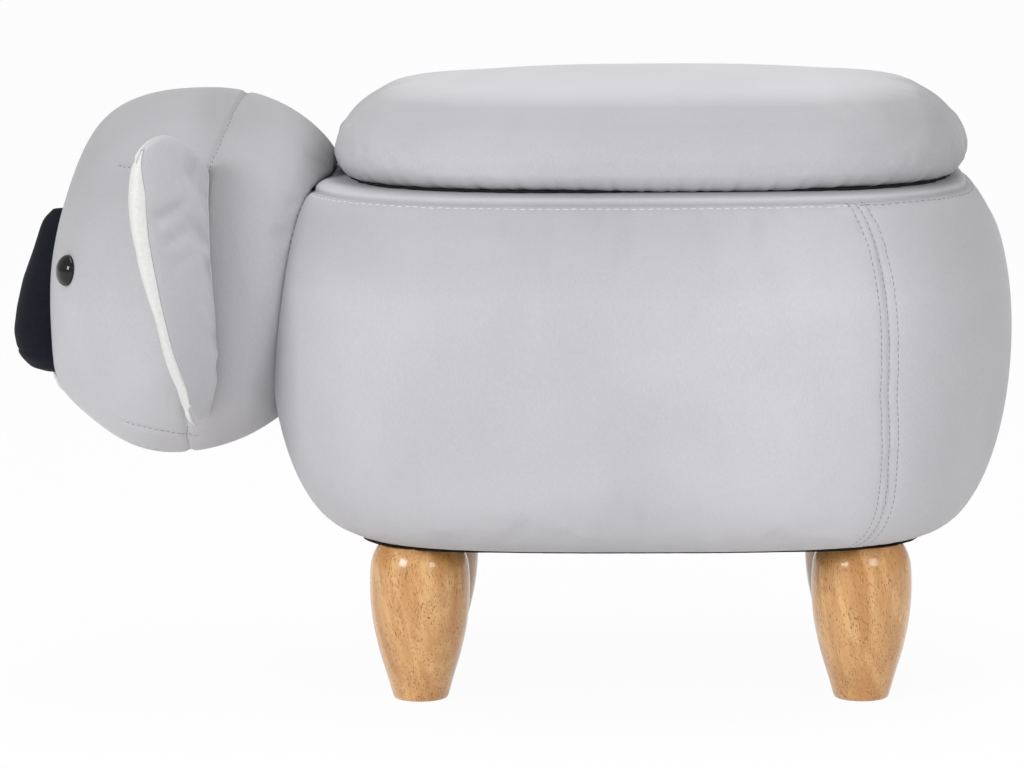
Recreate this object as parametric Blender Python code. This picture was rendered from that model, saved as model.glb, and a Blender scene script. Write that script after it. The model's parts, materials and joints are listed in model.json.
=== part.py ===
"""Animal footstool with a storage compartment under a padded lid hinged on its far side.

Metres, +Z up. The tail points to +X, the head to -X, and the lid's hinges are on the +Y side.
The origin is on the floor, under the middle of the overall length.
"""

import math

import bmesh
import bpy
from mathutils import Matrix, Vector

# Body: a stretched superellipse in plan, with a shoulder curve above its widest level and a belly
# below.
BODY_CENTRE_X = 0.083
BODY_HALF_LENGTH = 0.237
BODY_HALF_DEPTH = 0.170
BODY_BASE_HEIGHT = 0.1015
BODY_WIDEST_HEIGHT = 0.231
BODY_RIM_HEIGHT = 0.329
SHOULDER_RUN = 0.037
BELLY_RUN = 0.0555
PLAN_SQUARENESS = 3.2

# Clearances.
SEAT_GAP = 0.0003
SWING_CLEARANCE = 0.001
BOLT_CLEARANCE = 0.0004
CUT_OVERRUN = 0.004

# Body construction.
COVER_THICKNESS = 0.002
COVER_TURN_IN = 0.012
COVER_LIP = 0.018
BOARD_INSET = 0.0565
BOARD_THICKNESS = 0.012
WALL_INSET = 0.058
WALL_THICKNESS = 0.005
TOP_RING_INSET = 0.040
TOP_RING_THICKNESS = 0.012
LINING_THICKNESS = 0.001
DUST_COVER_INSET = 0.060
DUST_COVER_THICKNESS = 0.0012
FLOOR_PANEL_THICKNESS = 0.003

# Legs and their fixings; the legs' centres lie on the body's outline drawn in by the inset.
LEG_INSET = 0.0749
LEG_TURN = math.radians(26.565)
LEG_RADIUS = 0.0319
LEG_BORE_DEPTH = 0.036
LEG_BOLT_RADIUS = 0.004
LEG_BOLT_IN_LEG = 0.034
TEE_NUT_RADIUS = 0.0055
TEE_NUT_FLANGE_RADIUS = 0.009
TEE_NUT_FLANGE_THICKNESS = 0.0015

# Head: a leaning ball around a front to back axis, with a longer half towards the body. Its centre
# lies ahead of the body's front.
HEAD_AHEAD = 0.051
HEAD_CENTRE_RISE = 0.0345
HEAD_FRONT_LENGTH = 0.0905
HEAD_REAR_LENGTH = 0.112
HEAD_HALF_WIDTH = 0.108
HEAD_HALF_HEIGHT = 0.117
HEAD_LEAN_SHARE = 0.113
HEAD_POLE = math.radians(8)
HEAD_SEAM = math.radians(99)
BROW_REACH = 0.016
BROW_RIDGE_POWER = 2.5
BROW_RUN_POWER = 3
FOREHEAD_FULLNESS = 0.23
HEAD_BOARD_RADIUS = 0.045
HEAD_BOARD_THICKNESS = 0.009
HEAD_BOLT_SPACING = 0.036
HEAD_BOLT_RADIUS = 0.003
HEAD_BOLT_HEAD_RADIUS = 0.0055
HEAD_BOLT_HEAD_THICKNESS = 0.004
WASHER_RADIUS = 0.009
WASHER_THICKNESS = 0.0015
NUT_RADIUS = 0.0062
NUT_THICKNESS = 0.005

# Ears: cupped flaps sewn into the head's seam, between two levels told from the head's centre.
EAR_ROOT_TOP_RISE = 0.0725
EAR_ROOT_BOTTOM_DROP = 0.0915
EAR_OUTWARD = 0.074
EAR_CURL_POWER = 1.5
EAR_FORWARD = 0.055
EAR_FORWARD_POWER = 1.3
EAR_FORWARD_FADE = 0.75
EAR_LIFT = 0.080
EAR_FULLNESS_POWER = 0.6
EAR_ROOT_FULLNESS = 0.12
EAR_PROBE = 0.01
EAR_HALF_THICKNESS = 0.0085
EAR_EDGE_HALF_THICKNESS = 0.003
EAR_ROOT_GAP = 0.0022

# Nose, chin patch and eyes, at levels told from the head's centre.
NOSE_AHEAD = 0.115
NOSE_BOTTOM_DROP = 0.0675
NOSE_HEIGHT = 0.1055
NOSE_REACH = 0.0284
NOSE_HALF_WIDTH = 0.031
NOSE_ROOT_DEPTH = 0.020
CHIN_RADIUS = 0.014
CHIN_THICKNESS = 0.003
CHIN_ANGLE = math.radians(43.5)
EYE_RISE = 0.0078
EYE_SPACING = 0.124
EYE_RADIUS = 0.010
EYE_DOME = 0.0062
EYE_SHANK_RADIUS = 0.0025
EYE_SHANK_LENGTH = 0.013
EYE_WASHER_RADIUS = 0.008
EYE_WASHER_THICKNESS = 0.0015
EYE_WASHER_SLACK = 0.0009

# Lid, drawn in from the body's outline, at levels told from the rim and from its own widest line.
LID_SHIFT = 0.0065
LID_END_INSET = 0.035
LID_SIDE_INSET = 0.025
LID_WIDEST_RISE = 0.016
LID_SHOULDER_RISE = 0.0415
LID_CROWN = 0.008
LID_EDGE_RUN = 0.055
LID_UNDER_RUN = 0.009
LID_TURN_IN = 0.014
LID_BOARD_INSET = 0.011
LID_BOARD_THICKNESS = 0.012
LID_LINING_INSET = 0.015

# Hinges.
HINGE_SPACING = 0.110
HINGE_WIDTH = 0.045
HINGE_AXIS_INSET = 0.002
HINGE_LEAF_THICKNESS = 0.0018
HINGE_PIN_RADIUS = 0.0011
HINGE_KNUCKLE_RADIUS = 0.003
HINGE_LEAF_REACH = 0.028
HINGE_EYE_FIRST = math.radians(140)
HINGE_EYE_LAST = math.radians(-150)

# Facets.
PLAN_STEPS = 32
TAIL_STEPS = 8
SHOULDER_STEPS = 5
BAND_STEPS = 1
BELLY_STEPS = 5
FOAM_SKIPPED_STEPS = 1
LID_EDGE_STEPS = 5
LID_UNDER_STEPS = 2
ROUND_STEPS = 16
SMALL_STEPS = 10
NUT_SIDES = 6
HEAD_TURNS = 24
HEAD_RINGS = 7
EAR_STEPS = 7

# Shares chosen by hand: (height share, radius share) of a leg, from the foot up.
LEG_PROFILE_SHARES = (
    (0.0, 0.50), (0.02, 0.54), (0.13, 0.635), (0.30, 0.80), (0.48, 0.925), (0.62, 0.985),
    (0.75, 1.0), (0.87, 0.985), (0.94, 0.93), (0.985, 0.85), (1.0, 0.80),
)
# (height share, reach share, width share) of the nose, from its bottom up.
NOSE_PROFILE_SHARES = (
    (0.0, 0.32, 0.35), (0.03, 0.64, 0.62), (0.11, 0.91, 0.87), (0.25, 1.0, 1.0),
    (0.40, 0.92, 0.97), (0.57, 0.77, 0.86), (0.75, 0.52, 0.68), (0.93, 0.30, 0.42),
    (1.0, 0.05, 0.15),
)
LID_CROWN_SHARES = (0.8, 0.55, 0.28)
EYE_DOME_SHARES = ((1.0, 0.0), (0.97, 0.3), (0.80, 0.66), (0.45, 0.93))
CHIN_RING_SHARES = (1.0, 0.9, 0.5)

# Colour, roughness and metallic value of each finish.
FINISHES = {
    "velvet": ((0.58, 0.57, 0.61), 0.9, 0.0),
    "plush": ((0.82, 0.82, 0.80), 0.95, 0.0),
    "black_fabric": ((0.014, 0.016, 0.024), 0.85, 0.0),
    "lining": ((0.012, 0.012, 0.013), 0.9, 0.0),
    "foam": ((0.78, 0.74, 0.55), 0.95, 0.0),
    "wadding": ((0.85, 0.85, 0.84), 0.95, 0.0),
    "plywood": ((0.62, 0.45, 0.28), 0.6, 0.0),
    "leg_wood": ((0.60, 0.33, 0.14), 0.3, 0.0),
    "eye": ((0.02, 0.012, 0.008), 0.05, 0.0),
    "plastic": ((0.75, 0.75, 0.73), 0.5, 0.0),
    "steel": ((0.55, 0.55, 0.56), 0.35, 1.0),
}

# Levels and places that follow from the sizes above.
BOARD_BOTTOM = BODY_BASE_HEIGHT + COVER_THICKNESS + SEAT_GAP
BOARD_TOP = BOARD_BOTTOM + BOARD_THICKNESS
DUST_COVER_TOP = BODY_BASE_HEIGHT - SEAT_GAP
DUST_COVER_BOTTOM = DUST_COVER_TOP - DUST_COVER_THICKNESS
LEG_TOP = DUST_COVER_BOTTOM - SEAT_GAP
TOP_RING_TOP = BODY_RIM_HEIGHT - COVER_THICKNESS - SEAT_GAP
TOP_RING_BOTTOM = TOP_RING_TOP - TOP_RING_THICKNESS
WALL_INNER_INSET = WALL_INSET + WALL_THICKNESS
COVER_LIP_BOTTOM = BODY_RIM_HEIGHT - COVER_LIP
FLOOR_PANEL_BOTTOM = BOARD_TOP + SEAT_GAP + TEE_NUT_FLANGE_THICKNESS + SEAT_GAP
FLOOR_PANEL_TOP = FLOOR_PANEL_BOTTOM + FLOOR_PANEL_THICKNESS
LINING_INNER_INSET = WALL_INNER_INSET + SEAT_GAP + LINING_THICKNESS
BODY_FRONT_X = BODY_CENTRE_X - BODY_HALF_LENGTH
HEAD_CENTRE_X = BODY_FRONT_X - HEAD_AHEAD
NOSE_TIP_X = HEAD_CENTRE_X - NOSE_AHEAD
LID_CENTRE_X = BODY_CENTRE_X + LID_SHIFT
LID_HALF_LENGTH = BODY_HALF_LENGTH - LID_END_INSET
LID_HALF_DEPTH = BODY_HALF_DEPTH - LID_SIDE_INSET
HINGE_AXIS_Y = LID_HALF_DEPTH - HINGE_AXIS_INSET
HEAD_CENTRE_HEIGHT = BODY_WIDEST_HEIGHT + HEAD_CENTRE_RISE
EAR_ROOT_TOP = HEAD_CENTRE_HEIGHT + EAR_ROOT_TOP_RISE
EAR_ROOT_BOTTOM = HEAD_CENTRE_HEIGHT - EAR_ROOT_BOTTOM_DROP
NOSE_BOTTOM = HEAD_CENTRE_HEIGHT - NOSE_BOTTOM_DROP
EYE_HEIGHT = HEAD_CENTRE_HEIGHT + EYE_RISE
LID_WIDEST_HEIGHT = BODY_RIM_HEIGHT + LID_WIDEST_RISE
LID_SHOULDER_HEIGHT = LID_WIDEST_HEIGHT + LID_SHOULDER_RISE
BODY_CENTRE = Vector((BODY_CENTRE_X, 0.0, BODY_WIDEST_HEIGHT))
HEAD_CENTRE = Vector((HEAD_CENTRE_X, 0.0, HEAD_CENTRE_HEIGHT))
LID_CENTRE = Vector((LID_CENTRE_X, 0.0, LID_WIDEST_HEIGHT))
HEAD_BOARD_REAR_X = BODY_FRONT_X - SEAT_GAP
HEAD_BOARD_FRONT_X = HEAD_BOARD_REAR_X - HEAD_BOARD_THICKNESS
LID_LINING_BOTTOM = BODY_RIM_HEIGHT + SEAT_GAP
LID_LINING_TOP = LID_LINING_BOTTOM + LINING_THICKNESS
LID_BASE = LID_LINING_TOP + SEAT_GAP
LID_BOARD_BOTTOM = LID_BASE + COVER_THICKNESS + SEAT_GAP
LID_BOARD_TOP = LID_BOARD_BOTTOM + LID_BOARD_THICKNESS
BASE_LEAF_TOP = BODY_RIM_HEIGHT
BASE_LEAF_BOTTOM = BASE_LEAF_TOP - HINGE_LEAF_THICKNESS
LID_LEAF_TOP = LID_BOARD_BOTTOM - SEAT_GAP
LID_LEAF_BOTTOM = LID_LEAF_TOP - HINGE_LEAF_THICKNESS
HINGE_AXIS_Z = (BASE_LEAF_TOP + LID_LEAF_BOTTOM) / 2
SIDES = (-1, 1)
HANDS = ("near", "far")

# Angles shared by all that lies in layers round the body, so that flat facets stay clear of each other.
PLAN_TURN = 2 * math.pi / PLAN_STEPS
TAIL_SEAM_TURN = PLAN_TURN * TAIL_STEPS / 2
BELLY_RISE = math.pi / 2 / BELLY_STEPS
SHOULDER_RISE = math.pi / 2 / SHOULDER_STEPS
RIM_SEAM_RISE = math.pi / 2 - SHOULDER_RISE * BAND_STEPS
FOAM_LOW_RISE = BELLY_RISE * FOAM_SKIPPED_STEPS - math.pi / 2
SEAM_ANGLE_GAP = SEAT_GAP / BODY_HALF_DEPTH
RIM_SEAM_GAP = SEAT_GAP / SHOULDER_RUN / 2


# Meshes and objects.

def start_clean():
    """Remove what the file opened with."""
    for item in list(bpy.data.objects):
        bpy.data.objects.remove(item, do_unlink=True)
    for mesh in list(bpy.data.meshes):
        bpy.data.meshes.remove(mesh)


def add_quad(mesh, corners, centre):
    """Add a four sided face; with a centre, it is split along the diagonal that stands further out."""
    if centre is None:
        mesh.faces.new(corners)
        return
    one, two, three, four = corners
    across = ((one.co + three.co) / 2 - centre).length
    other = ((two.co + four.co) / 2 - centre).length
    if across >= other:
        triangles = ((one, two, three), (one, three, four))
    else:
        triangles = ((one, two, four), (two, three, four))
    for triangle in triangles:
        mesh.faces.new(triangle)


def loft(mesh, rings, closed=False, centre=None):
    """Skin a run of equal rings; a closed run joins its last ring to its first, an open one is capped."""
    rows = [[mesh.verts.new(point) for point in ring] for ring in rings]
    count = len(rows[0])
    pairs = list(zip(rows, rows[1:]))
    if closed:
        pairs.append((rows[-1], rows[0]))
    for low, high in pairs:
        for step in range(count):
            after = (step + 1) % count
            add_quad(mesh, (low[step], low[after], high[after], high[step]), centre)
    if not closed:
        mesh.faces.new(rows[0])
        mesh.faces.new(rows[-1])


def material_for(name, finish):
    """The named piece's own material."""
    colour, roughness, metallic = FINISHES[finish]
    material = bpy.data.materials.new(name + "_finish")
    material.use_nodes = True
    shader = material.node_tree.nodes["Principled BSDF"]
    shader.inputs["Base Color"].default_value = (*colour, 1.0)
    shader.inputs["Roughness"].default_value = roughness
    shader.inputs["Metallic"].default_value = metallic
    return material


def make_object(name, mesh, finish=None, parent=None, sharp_degrees=35):
    """Turn a bmesh into an object, smooth where its faces meet gently; no finish makes a cutter."""
    bmesh.ops.recalc_face_normals(mesh, faces=mesh.faces)
    data = bpy.data.meshes.new(name)
    mesh.to_mesh(data)
    mesh.free()
    data.shade_smooth()
    data.set_sharp_from_angle(angle=math.radians(sharp_degrees))
    piece = bpy.data.objects.new(name, data)
    bpy.context.scene.collection.objects.link(piece)
    if finish is None:
        piece.hide_render = True
        piece.display_type = "WIRE"
    else:
        data.materials.append(material_for(name, finish))
    if parent is not None:
        place_under(piece, parent)
    return piece


def place_under(piece, parent):
    """Parent a piece whose mesh is in world places."""
    piece.parent = parent
    piece.matrix_parent_inverse = Matrix.Translation(parent.location).inverted()


def cut(piece, *cutters):
    """Take each cutter's shape out of a piece."""
    for cutter in cutters:
        boolean = piece.modifiers.new("cut_" + cutter.name, "BOOLEAN")
        boolean.operation = "DIFFERENCE"
        boolean.solver = "EXACT"
        boolean.object = cutter


# Outlines.

def plan_ring_point(turn, centre_x, half_length, half_depth, level):
    """A point of a superellipse, at a polar angle."""
    along = abs(math.cos(turn)) / half_length
    across = abs(math.sin(turn)) / half_depth
    radius = (along ** PLAN_SQUARENESS + across ** PLAN_SQUARENESS) ** (-1 / PLAN_SQUARENESS)
    return Vector((centre_x + radius * math.cos(turn), radius * math.sin(turn), level))


def body_point(turn, inset, level):
    """A point on the body's outline drawn in by an inset."""
    return plan_ring_point(turn, BODY_CENTRE_X, BODY_HALF_LENGTH - inset, BODY_HALF_DEPTH - inset, level)


def lid_point(turn, inset, level, share=1.0):
    """A point on the lid's outline drawn in by an inset, and then by a share."""
    half_length = (LID_HALF_LENGTH - inset) * share
    half_depth = (LID_HALF_DEPTH - inset) * share
    return plan_ring_point(turn, LID_CENTRE_X, half_length, half_depth, level)


def turns(count, first=0.0, last=2 * math.pi, closed=True):
    """Evenly spaced angles; a closed set leaves out its last one."""
    steps = count if closed else count + 1
    return [first + (last - first) * step / count for step in range(steps)]


def body_wall_point(rise, depth):
    """Inset and level on the body's side, at a rise from -90 degrees underneath to 90 at the rim."""
    upper = rise >= 0
    run = SHOULDER_RUN if upper else BELLY_RUN
    height = BODY_RIM_HEIGHT - BODY_WIDEST_HEIGHT if upper else BODY_WIDEST_HEIGHT - BODY_BASE_HEIGHT
    out = Vector((math.cos(rise) / run, math.sin(rise) / height)).normalized()
    inset = run * (1 - math.cos(rise)) + depth * out.x
    return inset, BODY_WIDEST_HEIGHT + height * math.sin(rise) - depth * out.y


def between(stations, first, last):
    """The two ends and the stations that lie well between them."""
    barely = (stations[1] - stations[0]) / 4
    return [first] + [place for place in stations if first + barely < place < last - barely] + [last]


def body_side(depth, low_rise=-math.pi / 2, high_rise=math.pi / 2):
    """Insets and levels up the body's side, on the rises that all its layers share."""
    rises = [BELLY_RISE * step - math.pi / 2 for step in range(BELLY_STEPS)]
    rises += [SHOULDER_RISE * step for step in range(SHOULDER_STEPS + 1)]
    return [body_wall_point(rise, depth) for rise in between(rises, low_rise, high_rise)]


def sweep_body(name, profile, finish, first=0.0, last=None):
    """Carry a closed profile of insets and levels round the body, all the way or between two turns."""
    mesh = bmesh.new()
    whole = last is None
    angles = turns(PLAN_STEPS)
    if not whole:
        angles = between([PLAN_TURN * step for step in range(-TAIL_STEPS, PLAN_STEPS)], first, last)
    rings = [[body_point(turn, inset, level) for inset, level in profile] for turn in angles]
    loft(mesh, rings, closed=whole, centre=BODY_CENTRE)
    return make_object(name, mesh, finish)


def body_plate(name, inset, low, high, finish):
    """A flat plate with the body's outline."""
    mesh = bmesh.new()
    loft(mesh, [[body_point(turn, inset, level) for turn in turns(PLAN_STEPS)] for level in (low, high)])
    return make_object(name, mesh, finish)


def add_turned(mesh, profile, place, steps):
    """Add a solid turned round its own Z axis from (radius, height) pairs, set by a matrix."""
    rings = []
    for radius, height in profile:
        ring = [Vector((radius * math.cos(turn), radius * math.sin(turn), height)) for turn in turns(steps)]
        rings.append([place @ point for point in ring])
    loft(mesh, rings)


def add_rod(mesh, start, axis, radius, length, steps=SMALL_STEPS):
    """Add a plain round bar that runs from a start point along an axis."""
    direction = Vector(axis).normalized()
    place = Matrix.Translation(start) @ direction.to_track_quat("Z", "Y").to_matrix().to_4x4()
    add_turned(mesh, ((radius, 0.0), (radius, length)), place, steps)


def add_washer(mesh, start, axis, outer, inner, thickness, steps=SMALL_STEPS):
    """Add a flat ring that runs from a start point along an axis."""
    direction = Vector(axis).normalized()
    place = Matrix.Translation(start) @ direction.to_track_quat("Z", "Y").to_matrix().to_4x4()
    rings = []
    for radius, height in ((outer, 0.0), (outer, thickness), (inner, thickness), (inner, 0.0)):
        ring = [Vector((radius * math.cos(turn), radius * math.sin(turn), height)) for turn in turns(steps)]
        rings.append([place @ point for point in ring])
    loft(mesh, rings, closed=True)


# Body.

def leg_places():
    """The four leg centres, near and far, head end first."""
    places = {
        "near_front": math.pi + LEG_TURN,
        "near_rear": -LEG_TURN,
        "far_front": math.pi - LEG_TURN,
        "far_rear": LEG_TURN,
    }
    return {name: body_point(turn, LEG_INSET, 0.0).xy for name, turn in places.items()}


def make_frame(leg_bores, head_bores):
    """The wooden frame: bottom board, bent wall and top ring."""
    board = body_plate("bottom_board", BOARD_INSET, BOARD_BOTTOM, BOARD_TOP, "plywood")
    cut(board, leg_bores)
    low = BOARD_TOP + SEAT_GAP
    high = TOP_RING_BOTTOM - SEAT_GAP
    profile = [(WALL_INSET, low), (WALL_INSET, high), (WALL_INNER_INSET, high), (WALL_INNER_INSET, low)]
    cut(sweep_body("frame_wall", profile, "plywood"), head_bores)
    profile = [(TOP_RING_INSET, TOP_RING_BOTTOM), (TOP_RING_INSET, TOP_RING_TOP),
               (WALL_INNER_INSET, TOP_RING_TOP), (WALL_INNER_INSET, TOP_RING_BOTTOM)]
    sweep_body("top_ring", profile, "plywood")


def make_foam(head_bores):
    """The foam sleeve between the frame and the covers."""
    outer = body_side(COVER_THICKNESS + SEAT_GAP, low_rise=FOAM_LOW_RISE)
    foot_level = outer[0][1]
    ring_side = TOP_RING_INSET - SEAT_GAP
    ring_under = TOP_RING_BOTTOM - SEAT_GAP
    wall_side = WALL_INSET - SEAT_GAP
    board_side = BOARD_INSET - SEAT_GAP
    board_over = BOARD_TOP + SEAT_GAP
    inner = [(ring_side, outer[-1][1]), (ring_side, ring_under), (wall_side, ring_under),
             (wall_side, board_over), (board_side, board_over), (board_side, foot_level)]
    cut(sweep_body("foam_sleeve", outer + inner, "foam"), head_bores)


def panel_profile():
    """A side panel: from its turned-in edge under the board up to the seam with the rim band."""
    edge = BELLY_RUN + COVER_TURN_IN
    outer = [(edge, BODY_BASE_HEIGHT)] + body_side(0.0, high_rise=RIM_SEAM_RISE)
    inner_side = body_side(COVER_THICKNESS, high_rise=RIM_SEAM_RISE)
    inner = [(edge, BODY_BASE_HEIGHT + COVER_THICKNESS)] + inner_side
    return outer + inner[::-1]


def make_covers(leg_bores, head_bores, rim_pockets):
    """Three velvet panels and the rim band, whose lip turns down into the compartment."""
    profile = panel_profile()
    spans = {
        "tail_cover": (-TAIL_SEAM_TURN, TAIL_SEAM_TURN),
        "far_side_cover": (TAIL_SEAM_TURN, math.pi),
        "near_side_cover": (math.pi, 2 * math.pi - TAIL_SEAM_TURN),
    }
    for name, (first, last) in spans.items():
        panel = sweep_body(name, profile, "velvet", first + SEAM_ANGLE_GAP, last - SEAM_ANGLE_GAP)
        cut(panel, leg_bores)
        if name != "tail_cover":
            cut(panel, head_bores)

    band_low = RIM_SEAM_RISE + RIM_SEAM_GAP
    lip_outer = WALL_INNER_INSET + SEAT_GAP
    lip_inner = lip_outer + COVER_THICKNESS
    outer = body_side(0.0, low_rise=band_low)
    inner = body_side(COVER_THICKNESS, low_rise=band_low)
    lip = [(lip_inner - COVER_THICKNESS / 2, BODY_RIM_HEIGHT),
           (lip_inner, BODY_RIM_HEIGHT - COVER_THICKNESS / 2),
           (lip_inner, COVER_LIP_BOTTOM), (lip_outer, COVER_LIP_BOTTOM),
           (lip_outer, BODY_RIM_HEIGHT - COVER_THICKNESS)]
    cut(sweep_body("rim_band", outer + lip + inner[::-1], "velvet"), rim_pockets)


def make_linings(leg_bores, head_bores):
    """The compartment's lining and floor, and the dust cover underneath."""
    outer = WALL_INNER_INSET + SEAT_GAP
    low = BOARD_TOP + SEAT_GAP
    high = COVER_LIP_BOTTOM - SEAT_GAP
    profile = [(outer, low), (outer, high), (LINING_INNER_INSET, high), (LINING_INNER_INSET, low)]
    cut(sweep_body("wall_lining", profile, "lining"), head_bores)
    inset = LINING_INNER_INSET + SEAT_GAP
    body_plate("floor_panel", inset, FLOOR_PANEL_BOTTOM, FLOOR_PANEL_TOP, "lining")
    dust_cover = body_plate("dust_cover", DUST_COVER_INSET, DUST_COVER_BOTTOM, DUST_COVER_TOP, "lining")
    cut(dust_cover, leg_bores)


def make_legs():
    """Four turned legs with a blind bore for the hanger bolt, the bolts and the tee nuts."""
    profile = [(LEG_RADIUS * radius, LEG_TOP * height) for height, radius in LEG_PROFILE_SHARES]
    bore = LEG_BOLT_RADIUS + BOLT_CLEARANCE
    profile += [(bore, LEG_TOP), (bore, LEG_TOP - LEG_BORE_DEPTH)]
    bolt_bottom = LEG_TOP - LEG_BOLT_IN_LEG
    bolt_length = FLOOR_PANEL_BOTTOM - SEAT_GAP - bolt_bottom
    flange_bottom = BOARD_TOP + SEAT_GAP
    flange_top = flange_bottom + TEE_NUT_FLANGE_THICKNESS
    barrel_bottom = BOARD_BOTTOM + SEAT_GAP
    nut_bore = LEG_BOLT_RADIUS + SEAT_GAP
    nut_profile = ((TEE_NUT_RADIUS, barrel_bottom), (TEE_NUT_RADIUS, flange_bottom),
                   (TEE_NUT_FLANGE_RADIUS, flange_bottom), (TEE_NUT_FLANGE_RADIUS, flange_top),
                   (nut_bore, flange_top), (nut_bore, barrel_bottom))
    for name, (x, y) in leg_places().items():
        place = Matrix.Translation((x, y, 0.0))
        mesh = bmesh.new()
        add_turned(mesh, profile, place, ROUND_STEPS)
        make_object("leg_" + name, mesh, "leg_wood")
        mesh = bmesh.new()
        add_rod(mesh, (x, y, bolt_bottom), (0, 0, 1), LEG_BOLT_RADIUS, bolt_length)
        make_object("hanger_bolt_" + name, mesh, "steel")
        mesh = bmesh.new()
        rings = []
        for radius, level in nut_profile:
            circle = [Vector((radius * math.cos(a), radius * math.sin(a), level))
                      for a in turns(SMALL_STEPS)]
            rings.append([place @ point for point in circle])
        loft(mesh, rings, closed=True)
        make_object("tee_nut_" + name, mesh, "steel")


def make_leg_bores():
    """Cutter for the holes that the tee nuts and hanger bolts pass through."""
    mesh = bmesh.new()
    radius = TEE_NUT_RADIUS + SEAT_GAP
    low = DUST_COVER_BOTTOM - CUT_OVERRUN
    for x, y in leg_places().values():
        add_rod(mesh, (x, y, low), (0, 0, 1), radius, BOARD_TOP + CUT_OVERRUN - low)
    return make_object("leg_bores", mesh)


# Head.

def head_point(psi, turn, depth=0.0):
    """A point on the head, psi from its front pole to its rear pole, turn round its axis from +Y up."""
    length = (HEAD_FRONT_LENGTH if psi < math.pi / 2 else HEAD_REAR_LENGTH) - depth
    rise = (HEAD_HALF_HEIGHT - depth) * math.sin(psi) * math.sin(turn)
    ridge = max(math.sin(turn), 0.0) ** BROW_RIDGE_POWER
    brow = BROW_REACH * ridge * math.sin(psi) ** BROW_RUN_POWER * max(math.sin(2 * psi), 0.0)
    ahead = math.cos(psi)
    if ahead > 0:
        ahead **= 1 - FOREHEAD_FULLNESS * ridge
    x = HEAD_CENTRE_X - length * ahead + HEAD_LEAN_SHARE * rise - brow
    y = (HEAD_HALF_WIDTH - depth) * math.sin(psi) * math.cos(turn)
    return Vector((x, y, HEAD_CENTRE_HEIGHT + rise))


def head_rings(first, last, depth):
    """Rings round the head's axis between two angles from its front pole."""
    angles = turns(HEAD_RINGS, first, last, closed=False)
    return [[head_point(psi, turn, depth) for turn in turns(HEAD_TURNS)] for psi in angles]


def make_body_envelope():
    """Cutter with the body's outside, grown by the seat gap."""
    mesh = bmesh.new()
    side = body_side(-SEAT_GAP)
    rings = [[body_point(turn, inset, level) for turn in turns(PLAN_STEPS)] for inset, level in side]
    loft(mesh, rings, centre=BODY_CENTRE)
    return make_object("body_envelope", mesh)


def make_lid_sweep():
    """Cutter for the space that the lid needs beside the head."""
    mesh = bmesh.new()
    levels = (BODY_RIM_HEIGHT - SEAT_GAP, LID_SHOULDER_HEIGHT + LID_CROWN)
    rings = [[lid_point(turn, -SWING_CLEARANCE, level) for turn in turns(PLAN_STEPS)] for level in levels]
    loft(mesh, rings)
    return make_object("lid_sweep", mesh)


def make_head_cutters():
    """Cutters for the head board's pocket and for the nuts in front of it."""
    mesh = bmesh.new()
    front = HEAD_BOARD_FRONT_X - SEAT_GAP
    reach = BODY_HALF_LENGTH - WALL_INSET
    radius = HEAD_BOARD_RADIUS + SEAT_GAP
    add_rod(mesh, (front, 0.0, BODY_WIDEST_HEIGHT), (1, 0, 0), radius, reach, ROUND_STEPS)
    pocket = make_object("head_board_pocket", mesh)
    mesh = bmesh.new()
    bolt_front = front - SEAT_GAP - NUT_THICKNESS - CUT_OVERRUN
    for y in head_bolt_sides():
        add_rod(mesh, (bolt_front, y, BODY_WIDEST_HEIGHT), (1, 0, 0), NUT_RADIUS + SEAT_GAP,
                front + CUT_OVERRUN - bolt_front)
    return pocket, make_object("head_nut_pockets", mesh)


def head_bolt_sides():
    """The head bolts' places across the body."""
    return -HEAD_BOLT_SPACING / 2, HEAD_BOLT_SPACING / 2


def head_bolt_span():
    """Where the head bolts start in front of their nuts and end at their heads."""
    front = HEAD_BOARD_FRONT_X - SEAT_GAP - NUT_THICKNESS - SEAT_GAP
    washer_edge = HEAD_BOLT_SPACING / 2 + WASHER_RADIUS
    middle = body_point(math.pi, LINING_INNER_INSET, BODY_WIDEST_HEIGHT)
    corner = body_point(math.pi - PLAN_TURN, LINING_INNER_INSET, BODY_WIDEST_HEIGHT)
    lining_x = middle.x + (corner.x - middle.x) * washer_edge / corner.y
    return front, lining_x + SEAT_GAP + WASHER_THICKNESS + SEAT_GAP


def make_head_bores():
    """Cutter for the holes that the head bolts pass through."""
    mesh = bmesh.new()
    front, rear = head_bolt_span()
    for y in head_bolt_sides():
        start = (front, y, BODY_WIDEST_HEIGHT)
        add_rod(mesh, start, (1, 0, 0), HEAD_BOLT_RADIUS + BOLT_CLEARANCE, rear - front)
    return make_object("head_bores", mesh)


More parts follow.
